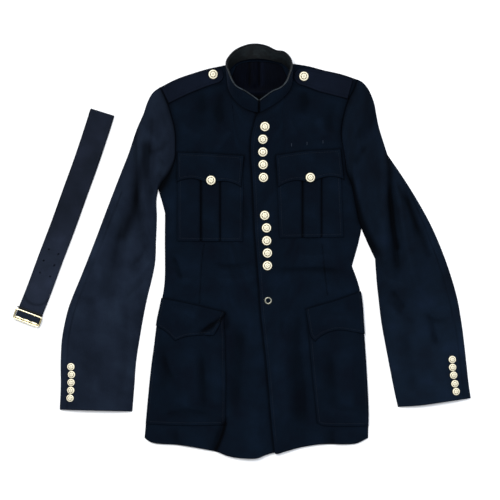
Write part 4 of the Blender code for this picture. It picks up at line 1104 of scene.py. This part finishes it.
def sweepRound(name, points, radius, finish, replaced=(), slot="buckle_gilt", closed=False,
               profile=None, **shares):
    # sweeps a round wire along points; profile gives the radius at each point
    line = np.array(points, float)
    if closed:
        ahead = np.roll(line, -1, axis=0) - np.roll(line, 1, axis=0)
    else:
        ahead = np.gradient(line, axis=0)
    ahead = unit(ahead)
    side = unit(np.cross((0, 0, 1.0), ahead))
    up = np.cross(ahead, side)
    sizes = np.full(len(line), radius) if profile is None else np.array(profile)
    angles = np.arange(buckle["wireSides"]) * 2 * math.pi / buckle["wireSides"]
    across, above = np.cos(angles)[None, :, None], np.sin(angles)[None, :, None]
    rings = line[:, None] + sizes[:, None, None] * (side[:, None] * across + up[:, None] * above)
    loftTube(name, rings, finish, replaced, slot, closed, **shares)


# Pockets, flaps and straps

chestPockets = {
    "right": {
        "flapTop": [(-163.4, 200), (-100, 197.5), (-30, 192.8)],
        "flapBottom": [(-164, 139.4), (-35.4, 129)], "pocketTop": [(-162.6, 193), (-31.4, 186)],
        "pocketBottom": [(-163.6, 22), (-32.4, 21)], "pleat": (0.355, 0.645), "button": (-96, 143.2),
    },
    "left": {
        "flapTop": [(33, 193.6), (96, 202.5), (163.2, 206.4)],
        "flapBottom": [(37.6, 129), (169.8, 144.8)], "pocketTop": [(34.6, 186.5), (162.2, 199)],
        "pocketBottom": [(41, 28), (169.4, 30)], "pleat": (0.412, 0.708), "button": (102.4, 149),
    },
}
lowerPockets = {
    "right": {
        "sideY": (-344, -98), "top": [(-196, -98), (-130, -112), (-69.5, -128)],
        "inner": [(-67, -346), (-66.6, -243), (-69.5, -128)],
        "bottom": [(-226, -344), (-150, -347), (-67, -346)],
        "flapTop": [(-194.8, -91.6), (-130, -104.5), (-66.6, -120.2)], "flapSideY": (-147, -91.6),
        "flapBottom": [
            [(-205.2, -147), (-184.6, -160), (-167.2, -177.6)],
            [(-167.2, -177.6), (-146.4, -169.6), (-114.6, -166.4), (-90.6, -166.8)],
        ],
        "flapInner": [(-90.6, -166.8), (-78, -144), (-66.6, -120.2)],
    },
    "left": {
        "sideY": (-348, -86), "top": [(96, -122), (150, -106), (204, -86)],
        "inner": [(117, -342), (110.4, -281.2), (102.4, -200), (96, -122)],
        "bottom": [(117, -342), (130, -347.5), (170, -349), (219, -348)],
        "flapTop": [(92.8, -113.8), (150, -97), (203, -78)], "flapSideY": (-164, -78),
        "flapBottom": [[(112, -179.2), (124.6, -168), (140.6, -160), (163, -156.2), (210.8, -164)]],
        "flapInner": [(112, -179.2), (102.4, -167), (96, -134.6), (92.8, -113.8)],
    },
}
shoulderStraps = {
    "right": [
        ("x", "y", "halfWidth"), (-188.6, 313.4, 18), (-156, 329.5, 18.6), (-124, 341.8, 17.6),
        (-98.6, 350.2, 16.6), (-71.5, 357, 15.6),
    ],
    "left": [
        ("x", "y", "halfWidth"), (183, 326, 20.6), (154, 334.2, 21.6), (124.6, 342, 22),
        (98, 348.6, 18.8), (70.4, 353.4, 16),
    ],
}
flapCreases = {
    "right": [
        ([(-124, -164), (-96, -146), (-72, -132)], 3, 7, -1.5, "end"),
        ([(-104, -166), (-90, -158), (-78, -146)], 4, 5, 1.6, "both"),
        ([(-180, -110), (-150, -124), (-120, -136)], 8, 12, 0.9),
    ],
    "left": [
        ([(118, -130), (150, -136), (196, -128)], 9, 12, 0.8),
    ],
}
pocketCreases = {
    "right": [
        ([(-116, -186), (-112, -250), (-108, -330)], 6, 11, -1.3),
        ([(-92, -190), (-84, -240), (-88, -310)], 7, 10, 1.2),
        ([(-190, -200), (-182, -232), (-168, -262)], 3, 8, -0.9),
        ([(-150, -210), (-140, -270), (-146, -320)], 9, 13, 0.9),
        ([(-200, -328), (-150, -318), (-92, -326)], 4, 9, -0.8),
    ],
    "left": [
        ([(140, -190), (146, -250), (152, -320)], 8, 13, -1.0),
        ([(180, -190), (178, -250), (186, -320)], 8, 13, 0.9),
        ([(120, -300), (160, -322), (206, -326)], 5, 10, 0.7),
    ],
}


def underOf(side):
    return lambda x, y: tops[side](x, y) + gaps["patch"]


patchForm = {
    "pleatRise": 1.7, "pleatReach": 0.12, "pleatSlope": 0.09, "scallop": 9.5, "stitch": 5.5,
    "puff": 1.6, "overPleat": 2.0, "overPocket": 0.2,
}
# width, length and step of each patch's grid, the chest pockets' width being their own
patchGrids = {"chestPocket": (168, 1.8), "chestFlap": (130, 62, 1.7), "lowerPocket": (130, 235, 2.0),
              "lowerFlap": (128, 62, 1.8), "strap": (40, 1.7)}


def patchCloth(name, node, plan, height, wall, flat, sides="lrb", finish=None,
               creases=(), dark=0.0, rim=0.7):
    # a patch sewn on near its edges, with a shallow line along the stitches
    x, y = plan[..., 0], plan[..., 1]
    reach = reachFromEdge(plan, sides)
    z = height(x, y) + wall / 2
    z = z - 0.4 * bell((reach - patchForm["stitch"]) / 0.9)
    z += 0.1 * bell((reach - patchForm["stitch"] / 2) / 1.6)
    z = z + creaseRise(creases, x, y)
    mid = np.stack([x, y, z], -1)
    # painted shade in the folds, along the stitch line, in the deep folds and where dark is given
    shade = foldShade(bodyCreases + list(creases), x, y) + dark
    shade += 0.3 * rim * bell((reach - patchForm["stitch"]) / 1.1)
    for line, depth, width in paintedFoldShade:
        shade += depth * seamLine(line, x, y, width)
    addCloth(name, mid, wall, flat, (node,), finish, shade=shade, rim=rim)
    for line in borderLines(plan, mid, wall, sides):
        noteStitches(line)


def borderLines(plan, mid, wall, sides):
    # lines on the patch that keep the stitch distance from its sewn edges
    inset = patchForm["stitch"]
    first, last = alongRow(plan)
    low, high = alongRow(plan.transpose(1, 0, 2))
    normal = gridNormals(mid)
    upper = mid + normal * (wall / 2 + 0.05)
    found = []
    for key, away, points in (
        ("l", first, upper), ("r", last, upper),
        ("b", low, upper.transpose(1, 0, 2)), ("t", high, upper.transpose(1, 0, 2)),
    ):
        if key not in sides:
            continue
        picked = []
        for distances, row in zip(away, points):
            order = np.argsort(distances)
            picked.append([np.interp(inset, distances[order], row[order, i]) for i in range(3)])
        line = np.array(picked)
        clear = np.hypot(*(line - line[0])[:, :2].T) > inset
        if key == "b" or "t" in sides:
            clear &= np.hypot(*(line - line[-1])[:, :2].T) > inset
        found.append(line[clear])
    return found


def flapCover(side, data):
    under = underOf(side)
    left, right = data["pleat"]
    x0, x1 = data["pocketTop"][0][0], data["pocketTop"][1][0]

    def height(x, y):
        u = (x - x0) / (x1 - x0)
        near = (ease((u - left + patchForm["pleatReach"]) / patchForm["pleatSlope"])
                * ease((right + patchForm["pleatReach"] - u) / patchForm["pleatSlope"]))
        return under(x, y) + walls["patch"] + gaps["flap"] + patchForm["overPleat"] * near

    return height


def buildChestPockets():
    for side, data in chestPockets.items():
        under = underOf(side)
        left, right = data["pleat"]
        x0, x1 = data["pocketTop"][0][0], data["pocketTop"][1][0]
        width = x1 - x0

        def pleated(x, y):
            u = (x - x0) / width
            inside = ease((u - left) * width / 1.2) * ease((right - u) * width / 1.2)
            groove = bell((u - left) * width / 1.9) + bell((u - right) * width / 1.9)
            sag = 0.5 * np.sin((u - 0.5) * 9) * ease((150 - y) / 60)
            return under(x, y) + patchForm["pleatRise"] * inside - 1.5 * groove + 0.25 * sag

        bottom, top = data["pocketBottom"], data["pocketTop"]
        patchAt = fillPatch(edgeLine([bottom]), edgeLine([top]), edgeLine([[bottom[0], top[0]]]),
                            edgeLine([[bottom[1], top[1]]]))
        plan = gridPlan(patchAt, width, *patchGrids["chestPocket"], data["pleat"])
        u = (plan[..., 0] - x0) / width
        # painted shade in the grooves beside the pleat, the left one wider
        dark = 1.05 * bell((u - left) * width / 3.4) + bell((u - right) * width / 2.8)
        patchCloth(f"{side}ChestPocket", f"chest_pocket_{side}", plan, pleated, walls["patch"],
                   (200, 175), dark=dark, rim=0.1)

        a, b = np.array(data["flapBottom"][0]), np.array(data["flapBottom"][1])

        def scalloped(u):
            u = np.asarray(u, float)
            arch = patchForm["scallop"] * np.abs(np.sin(2 * np.pi * u)) ** 0.8
            return a + (b - a) * u[..., None] + np.stack([0 * u, arch], -1)

        patchAt = fillPatch(scalloped, edgeLine([data["flapTop"]]),
                            edgeLine([[data["flapBottom"][0], data["flapTop"][0]]]),
                            edgeLine([[data["flapBottom"][1], data["flapTop"][-1]]]))
        plan = gridPlan(patchAt, *patchGrids["chestFlap"])
        patchCloth(f"{side}ChestFlap", f"chest_flap_{side}", plan, flapCover(side, data),
                   walls["patch"], (140, 75), sides="lrbt")


def sideLine(side, low, high, overhang):
    profile, sign = (rightProfile, -1) if side == "right" else (leftProfile, 1)
    heights = low + (high - low) * np.arange(9) / 8
    return edgeLine([[(float(levelAt(profile, y)) + sign * overhang, y) for y in heights]])


def buildLowerPockets():
    for side, data in lowerPockets.items():
        under = underOf(side)
        ends = {
            "pocket": (sideLine(side, *data["sideY"], 0.4), edgeLine([data["inner"]])),
            "flap": (sideLine(side, *data["flapSideY"], 1.6), edgeLine([data["flapInner"]])),
        }
        outer = 0 if side == "right" else 1
        if side == "left":
            ends = {key: pair[::-1] for key, pair in ends.items()}
        patchAt = fillPatch(edgeLine([data["bottom"]]), edgeLine([data["top"]]), *ends["pocket"])
        wide, long, step = patchGrids["lowerPocket"]
        across, along = stations(wide, step), stations(long, step)
        plan = patchAt(across, along)
        puffed = (patchForm["puff"] * ease(np.minimum(across, 1 - across) * 5)[None, :]
                  * ease(along * 5)[:, None])
        outerFall = 1.6 * (1 - ease(alongRow(plan)[outer] / 3))
        patchCloth(f"{side}LowerPocket", f"lower_pocket_{side}", plan,
                   lambda x, y: under(x, y) + puffed - outerFall, walls["patch"], (215, 265),
                   creases=pocketCreases[side], rim=0.3)

        patchAt = fillPatch(edgeLine(data["flapBottom"]), edgeLine([data["flapTop"]]), *ends["flap"])
        plan = gridPlan(patchAt, *patchGrids["lowerFlap"])
        cover = patchForm["puff"] + walls["patch"] + patchForm["overPocket"]
        outerFall = 2.4 * (1 - ease(alongRow(plan)[outer] / 4))
        patchCloth(f"{side}LowerFlap", f"lower_flap_{side}", plan,
                   lambda x, y: under(x, y) + cover - outerFall, walls["patch"], (145, 110),
                   creases=flapCreases[side])


def strapUnder(side):
    return lambda x, y: tops[side](x, y) + gaps["patch"] + 0.3


def buildShoulderStraps():
    for side, rows in shoulderStraps.items():
        table = np.array(rows[1:])
        line = edgeLine([[tuple(p) for p in table[:, :2]]])
        shares = np.linspace(0, 1, 81)
        length = np.linalg.norm(np.diff(line(shares), axis=0), axis=1).sum()
        radius = table[-1, 2]
        straight = 1 - radius / length
        along = np.concatenate([
            np.linspace(0, straight, 46)[:-1],
            straight + (1 - straight) * np.sin(np.radians(np.linspace(0, 84, 16))),
        ])
        along = np.unique(np.concatenate([along, np.array([0.1, 0.35, 0.75, 1.3, 2.0]) / length]))
        across = stations(*patchGrids["strap"])
        centre, near = line(along), 0.01
        ahead = unit(line(np.minimum(1, along + near)) - line(np.maximum(0, along - near)))
        half = np.interp(along, np.linspace(0, 1, len(table)), table[:, 2])
        beyond = np.clip((along - straight) / (1 - straight), 0, 1)
        half = half * np.sqrt(1 - beyond ** 2)
        out = np.stack([-ahead[:, 1], ahead[:, 0]], -1) * half[:, None]
        plan = centre[:, None] + out[:, None] * (2 * across - 1)[None, :, None]
        under = strapUnder(side)
        patchCloth(f"{side}ShoulderStrap", f"shoulder_strap_{side}", plan, under, walls["strap"],
                   (130, 44), sides="lr", finish=strapWool)


# Buttons and eyelet

frontButtons = [
    (11.6, 250.6), (7.6, 225.4), (7.6, 200), (8.2, 174.6), (8.8, 149), (11.4, 73.2), (15, 48.2),
    (15.4, 22.6), (16.8, -2), (16.8, -27.2),
]
cuffButtons = {
    "right": [
        (-375.6, -229.4), (-374.4, -245), (-375.2, -260.8), (-375.8, -276.4), (-377.2, -292),
    ],
    "left": [(386, -214.8), (386.6, -230.6), (388.6, -246.2), (391.2, -263.2), (393.8, -278.8)],
}
shoulderButtons = {"right": (-91.6, 355), "left": (89.6, 351)}
eyelet = {"place": (18.4, -97.2), "outer": 7.4, "inner": 4.4}
buttonForms = {
    "large": {"radius": 9.5, "dome": 5.2, "shank": 1.1, "rings": 34, "spokes": 56},
    "small": {"radius": 7.6, "dome": 4.4, "shank": 0.9, "rings": 30, "spokes": 48},
}


def buttonMesh(name, radius, dome, shank, rings, spokes):
    # a stamped shell: rosette of six petals in a rope rim, flat back and a short shank
    spread = np.concatenate([np.linspace(0, 0.9, rings - 8), np.linspace(0.91, 1.0, 8)])[1:]
    angles = np.arange(spokes) * 2 * math.pi / spokes
    r, a = np.meshgrid(spread, angles, indexing="ij")
    arch = dome * np.sqrt(np.clip(1 - (r * 0.94) ** 2, 0, 1))
    arch = np.where(r > 0.97, arch - 0.5 * ease((r - 0.97) / 0.03), arch)
    petalEdge = 0.32 + 0.36 * np.abs(np.cos(3 * a)) ** 0.7
    petal = ease((petalEdge - r) / 0.07) * ease((r - 0.2) / 0.05)
    turnShare = (3 * a / math.pi) % 1
    vein = bell(np.minimum(turnShare, 1 - turnShare) / 0.12) * ease((r - 0.2) / 0.1)
    bead = ease((0.15 - r) / 0.04)
    rope = bell((r - 0.86) / 0.055) * (0.65 + 0.35 * np.sin(28 * a + 22 * r))
    raised = np.clip(petal * (1 - 0.55 * vein) + bead + rope, 0, 1.2)
    z = arch + radius * 0.075 * (raised - 0.5)
    points = [(0, 0, shank + dome + radius * 0.066)]
    shell = np.stack([r * radius * np.cos(a), r * radius * np.sin(a), z + shank], -1)
    points += shell.reshape(-1, 3).tolist()
    # browner in the rosette's hollows, and a painted shadow round the rim
    sunk = 1.05 * (1 - raised) * (0.26 + 0.74 * ease((0.74 - r) / 0.1))
    sunk = np.where(r > 0.95, 0.8, sunk)
    recess = [0.0] + sunk.ravel().tolist()
    for size, level in ((1.0, 0.55), (0.94, 0.0), (0.32, 0.0), (0.3, -shank)):
        points += [(radius * size * c, radius * size * s, shank + level)
                   for c, s in zip(np.cos(angles), np.sin(angles))]
        recess += [0.5] * spokes
    points.append((0, 0, 0))
    recess.append(0.5)
    faces = []
    layers = len(spread) + 4
    for j in range(spokes):
        k = (j + 1) % spokes
        faces.append((0, 1 + j, 1 + k))
        for i in range(layers - 1):
            first, second = 1 + i * spokes, 1 + (i + 1) * spokes
            faces.append((first + j, second + j, second + k, first + k))
        last = 1 + (layers - 1) * spokes
        faces.append((last + j, len(points) - 1, last + k))
    mesh = bpy.data.meshes.new(name)
    mesh.from_pydata((np.array(points) * mm).tolist(), [], faces)
    mesh.attributes.new("recess", "FLOAT", "POINT").data.foreach_set("value", recess)
    mesh.shade_smooth()
    mesh.materials.append(silver)
    return mesh


def slopeNormal(height, x, y, step=3.0):
    # the direction square to the cloth at a place, and its height there
    def at(px, py):
        return float(height(np.array([px]), np.array([py]))[0])

    dx = (at(x + step, y) - at(x - step, y)) / (2 * step)
    dy = (at(x, y + step) - at(x, y - step)) / (2 * step)
    return Vector((-dx, -dy, 1)).normalized(), at(x, y)


def placeButton(name, node, mesh, x, y, height, turn):
    normal, level = slopeNormal(height, x, y)
    obj = newObject(name, mesh)
    obj.location = (Vector((x, y, level)) + normal * gaps["button"]) * mm
    obj.rotation_mode = "QUATERNION"
    lean = Vector((0, 0, 1)).rotation_difference(normal)
    obj.rotation_quaternion = lean @ Quaternion((0, 0, 1), -turn)
    register(obj, (node,))


def sleeveTopAt(side):
    data = sleeves[side]
    low, high = sideProfile(data["start"]), sideProfile(data["end"])

    def height(x, y):
        a, b = levelAt(low, y), levelAt(high, y)
        u = np.clip((x - a) / (b - a), 0, 1)
        return walls["sleeve"] * 2 + sleeveForm["rest"] + sleeveRise(side, u, np.zeros_like(x), x, y)

    return height


def buildButtons():
    draw = np.random.RandomState(11)
    large, small = (buttonMesh(f"{size}Button", **form) for size, form in buttonForms.items())
    for number, (x, y) in enumerate(frontButtons, 1):
        placeButton(f"frontButton{number:02d}", f"front_button_{number:02d}", large, x, y,
                    leftFrontTop, draw.uniform(-0.5, 0.5))
    for side in ("right", "left"):
        data, under = chestPockets[side], strapUnder(side)
        cover = flapCover(side, data)
        placeButton(f"{side}ChestButton", f"chest_button_{side}", large, *data["button"],
                    lambda x, y: cover(x, y) + walls["patch"], 0.2)
        placeButton(f"{side}ShoulderButton", f"shoulder_button_{side}", large,
                    *shoulderButtons[side], lambda x, y: under(x, y) + walls["strap"], 0.4)
        for number, (x, y) in enumerate(cuffButtons[side], 1):
            placeButton(f"{side}CuffButton{number}", f"cuff_button_{side}_{number}", small, x, y,
                        sleeveTopAt(side), draw.uniform(-0.6, 0.6))


def buildEyelet():
    x, y = eyelet["place"]
    normal, level = slopeNormal(leftFrontTop, x, y)
    foot = Vector((x, y, level)) + normal * gaps["button"]
    middle, half = (eyelet["outer"] + eyelet["inner"]) / 2, (eyelet["outer"] - eyelet["inner"]) / 2
    rings = []
    for a in np.arange(48) * 2 * math.pi / 48:
        out = Vector((math.cos(a), math.sin(a), 0))
        ring = []
        for b in np.arange(12) * 2 * math.pi / 12:
            ring.append(foot + out * (middle + half * math.cos(b))
                        + Vector((0, 0, 0.85 + 0.85 * math.sin(b))))
        rings.append(ring)
    loftTube("beltHookEyelet", np.array(rings), nickel, ("belt_hook_eyelet",), "button_metal", True)
    # the worked thread round the eyelet
    angles = np.arange(30) * 2 * math.pi / 30
    ways = np.column_stack([np.cos(angles), np.sin(angles), 0 * angles])
    stitchRuns.append((np.array(foot) + ways * (eyelet["outer"] + 1.0), ways))


def buildMarks():
    # small pale loops for medals
    runs = []
    for x, y in ((65, 214), (96, 217), (128, 220)):
        z = leftFrontTop(np.array([x]), np.array([float(y)]))[0] + 0.35
        runs.append((np.array([(x, y - 1.4, z), (x, y + 1.4, z)]), np.array([(0, 1.0, 0)] * 2)))
    buildStitches("medalLoops", runs, paleThread, length=4.4, thick=0.38)


# Belt and buckle

beltLine = [
    (-313.2, 280.2), (-324.6, 244), (-346, 180), (-369.2, 116), (-392.2, 52), (-416.6, -12),
    (-440.2, -76), (-455.6, -115), (-465.4, -140),
]
buckle = {"x": -463, "y": -131.5, "turn": -20.5, "width": 57, "height": 23, "wire": 1.7,
          "corner": 4.0, "keeper": 1.3, "knuckle": 2.3, "knucklePitch": 16.5, "knuckleHalf": 5.5,
          "rod": 1.1, "wireSides": 12}
beltForm = {"length": 470, "half": 25.0, "stitch": 5.0, "holeRadius": 1.6}
beltHoles = [
    (-420.4, 5.2), (-401.6, -4.4), (-430.4, -17.2), (-409.6, -26.8), (-438.2, -41.2), (-417.6, -49.0),
]


def buildBelt():
    # on top from the buckle to the far end, round that end, and back underneath
    line, length = edgeLine([beltLine]), beltForm["length"]
    radius = walls["belt"] + gaps["layer"] / 2
    shares = stations(length, 3.0)
    top = 2 * radius - walls["belt"] / 2
    ahead = unit(line(0.02) - line(0.0))

    def way(v):
        return unit(line(np.minimum(1, v + 0.02)) - line(np.maximum(0, v - 0.02)))

    upper = shares[::-1][:-1]
    lower = shares[shares < 0.985][1:]
    angles = np.radians(np.linspace(90, -90, 15))
    centre = line(0.0) + ahead * radius
    bend = centre - ahead * ((radius - walls["belt"] / 2) * np.cos(angles))[:, None]
    upper, lower = upper[upper * length > 4], lower[lower * length > 4]
    path = np.vstack([
        np.column_stack([line(upper), np.full(len(upper), top)]),
        np.column_stack([bend, radius + (radius - walls["belt"] / 2) * np.sin(angles)]),
        np.column_stack([line(lower), np.full(len(lower), walls["belt"] / 2)]),
    ])
    ways = np.vstack([way(upper), np.tile(ahead, (len(angles), 1)), way(lower)])
    across = stations(2 * beltForm["half"], 2.4)
    side = np.stack([-ways[:, 1], ways[:, 0], 0 * ways[:, 0]], -1) * beltForm["half"]
    mid = path[:, None] + side[:, None] * (2 * across - 1)[None, :, None]
    fromEdge = np.minimum(across, 1 - across) * 2 * beltForm["half"]
    grooveAndShade = 0.35 * bell((fromEdge - beltForm["stitch"]) / 0.9)
    isTop = (np.arange(len(path)) < len(upper))[:, None]
    mid[..., 2] -= grooveAndShade[None, :] * isTop
    mid[..., 2] += 0.25 * isTop * np.sin(path[:, 1] / 38)[:, None]
    x, y = mid[..., 0], mid[..., 1]
    # painted shade along the arc where the folded end lies under the top layer; the top layer lighter
    # towards the buckle
    foldEnd = [(-471, -84), (-464, -97), (-447, -106), (-430, -103), (-422, -94)]
    shade = isTop * (0.9 * seamLine(foldEnd, x, y, 2.4) - 0.85 * ease((90 - y) / 120))
    strap = addCloth("beltStrap", mid[:, ::-1], walls["belt"], (50, 945), ("belt",),
                     finish=beltWool, shade=shade[:, ::-1])
    for sign in (-1, 1):
        u = 0.5 + sign * (0.5 - beltForm["stitch"] / (2 * beltForm["half"]))
        column = int(np.argmin(np.abs(across - u)))
        row = mid[:len(upper), column] + np.array([0, 0, walls["belt"] / 2 + 0.1])
        noteStitches(row)
    punchHoles(strap, top + walls["belt"] / 2)


def punchHoles(strap, level):
    made = bmesh.new()
    for x, y in beltHoles:
        drill = bmesh.ops.create_cone(made, cap_ends=True, segments=20,
                                      radius1=beltForm["holeRadius"] * mm,
                                      radius2=beltForm["holeRadius"] * mm, depth=3.6 * mm)
        bmesh.ops.translate(made, verts=drill["verts"], vec=Vector((x, y, level - 1.2)) * mm)
    mesh = bpy.data.meshes.new("punches")
    made.to_mesh(mesh)
    made.free()
    mesh.materials.append(beltWool)
    punches = newObject("punches", mesh)
    cut = strap.modifiers.new("punched", "BOOLEAN")
    cut.object = punches
    cut.operation = "DIFFERENCE"
    cut.solver = "EXACT"
    graph = bpy.context.evaluated_depsgraph_get()
    cutMesh = bpy.data.meshes.new_from_object(strap.evaluated_get(graph))
    strap.modifiers.clear()
    strap.data = cutMesh
    bpy.data.objects.remove(punches, do_unlink=True)


def buildBuckle():
    turn = math.radians(buckle["turn"])
    wide = np.array([math.cos(turn), math.sin(turn), 0])
    down = np.array([math.sin(turn), -math.cos(turn), 0])
    wire, corner = buckle["wire"], buckle["corner"]
    halfW, halfH = buckle["width"] / 2 - wire, buckle["height"] / 2 - wire
    z = 2 * walls["belt"] + gaps["layer"] + gaps["patch"] + wire
    centre = np.array([buckle["x"], buckle["y"], z])
    loop = []
    for sx, sy, first in ((1, 1, 0), (-1, 1, 90), (-1, -1, 180), (1, -1, 270)):
        for angle in np.radians(np.linspace(first, first + 90, 9)):
            loop.append(centre + wide * (sx * (halfW - corner) + corner * math.cos(angle))
                        - down * (sy * (halfH - corner) + corner * math.sin(angle)))
    atEnd = np.abs((np.array(loop) - centre) @ wide) > halfW - 1
    sweepRound("buckleFrame", loop, wire, gilt, ("buckle_frame",), closed=True,
               recess=np.repeat(0.55 * atEnd, buckle["wireSides"]))

    # painted shade: a black bar just above the frame's top bar, standing in for the dark band of shade
    # there
    radius = buckle["keeper"]
    keeper = centre - down * (halfH + 2 * wire + 1.2)
    keeper[2] += radius + gaps["layer"] - wire
    shares = np.linspace(-1, 1, 24)
    line = keeper + wide * (halfW + 0.5) * shares[:, None]
    sizes = radius * np.sqrt(np.clip(1 - (np.abs(shares) * 0.985) ** 24, 0.02, 1))
    sweepRound("buckleShadeBar", line, radius, shadeBarFinish, ("buckle_keeper",), "keeper_black",
               profile=sizes)

    rod = centre + down * (halfH - wire - buckle["knuckle"] - gaps["layer"])
    rod[2] += 0.9
    shares = np.linspace(-1, 1, 40)
    for number in (1, 2, 3):
        middle = rod + wide * buckle["knucklePitch"] * (number - 2)
        line = middle + wide * buckle["knuckleHalf"] * shares[:, None]
        ends = np.sqrt(np.clip(1 - (np.abs(shares) * 0.99) ** 18, 0.02, 1))
        beads = 1 - 0.1 * bell((np.abs(shares) - 0.78) / 0.06)
        sweepRound(f"buckleKnuckle{number}", line, buckle["knuckle"], gilt,
                   (f"buckle_knuckle_{number}",), profile=buckle["knuckle"] * ends * beads)
    shares = np.linspace(-1, 1, 12)
    line = rod + wide * (halfW - 1.0) * shares[:, None]
    sweepRound("buckleRod", line, buckle["rod"], gilt)


buildBack()
buildNeckLining()
buildFronts()
buildSleeves()
print("panels and sleeves made")
buildCollar()
buildChestPockets()
buildLowerPockets()
buildShoulderStraps()
print("collar, pockets and straps made")
buildBelt()
buildBuckle()
buildButtons()
buildEyelet()
buildMarks()
buildStitches("topStitching", stitchRuns, thread)
print("belt, buttons and stitches made")


# Floor, light and camera


def plainStage():
    floorMesh = bpy.data.meshes.new("floor")
    floorMesh.from_pydata([(-6, -6, -0.0004), (6, -6, -0.0004), (6, 6, -0.0004), (-6, 6, -0.0004)],
                          [], [(0, 1, 2, 3)])
    # White paper sweep: matt and almost pure white, so that the cloth's edge reads against it
    made = newMaterial("whitePaper", {
        "Roughness": 0.9, "Specular IOR Level": 0.1, "Base Color": (*toLinear("#F4F4F4"), 1.0),
    })[0]
    floorMesh.materials.append(made)
    floor = newObject("floor", floorMesh)


def areaLight(name, place, size, watts, code):
    lamp = bpy.data.lights.new(name, "AREA")
    lamp.shape = "DISK"
    lamp.size = size
    lamp.energy = watts
    lamp.color = toLinear(code)
    obj = newObject(name, lamp)
    obj.location = place
    obj.rotation_euler = (-Vector(place)).to_track_quat("-Z", "Y").to_euler()


plainStage()
lights = [
    {"name": "keyFromTopLeft", "place": (-1.3, 1.9, 5.2), "size": 2.8, "watts": 270,
     "code": "#FFFFFF"},
    {"name": "fillFromRight", "place": (3.2, 1.2, 3.6), "size": 2.0, "watts": 60,
     "code": "#E6EEFF"},
]
for light in lights:
    areaLight(**light)

world = bpy.data.worlds.new("paleRoom")
world.use_nodes = True
setInputs(world.node_tree, world.node_tree.nodes["Background"],
          {"Color": (*toLinear("#F2F5FA"), 1.0), "Strength": 0.76})
bpy.context.scene.world = world

camera = bpy.data.cameras.new("overheadCamera")
eye = newObject("overheadCamera", camera)
# the frame's width is true at the middle height of the cloth
distance, clothLevel, frameWidth = 6.0, 0.008, photo["pixel"] * photo["pixels"] * mm
camera.sensor_width = 36.0
camera.lens = camera.sensor_width * (distance - clothLevel) / frameWidth
camera.clip_end = 40.0
eye.location = (photo["frameCentre"][0] * mm, photo["frameCentre"][1] * mm, distance)
bpy.context.scene.camera = eye
bpy.context.scene.view_settings.view_transform = "Standard"
print("stage, light and camera set")
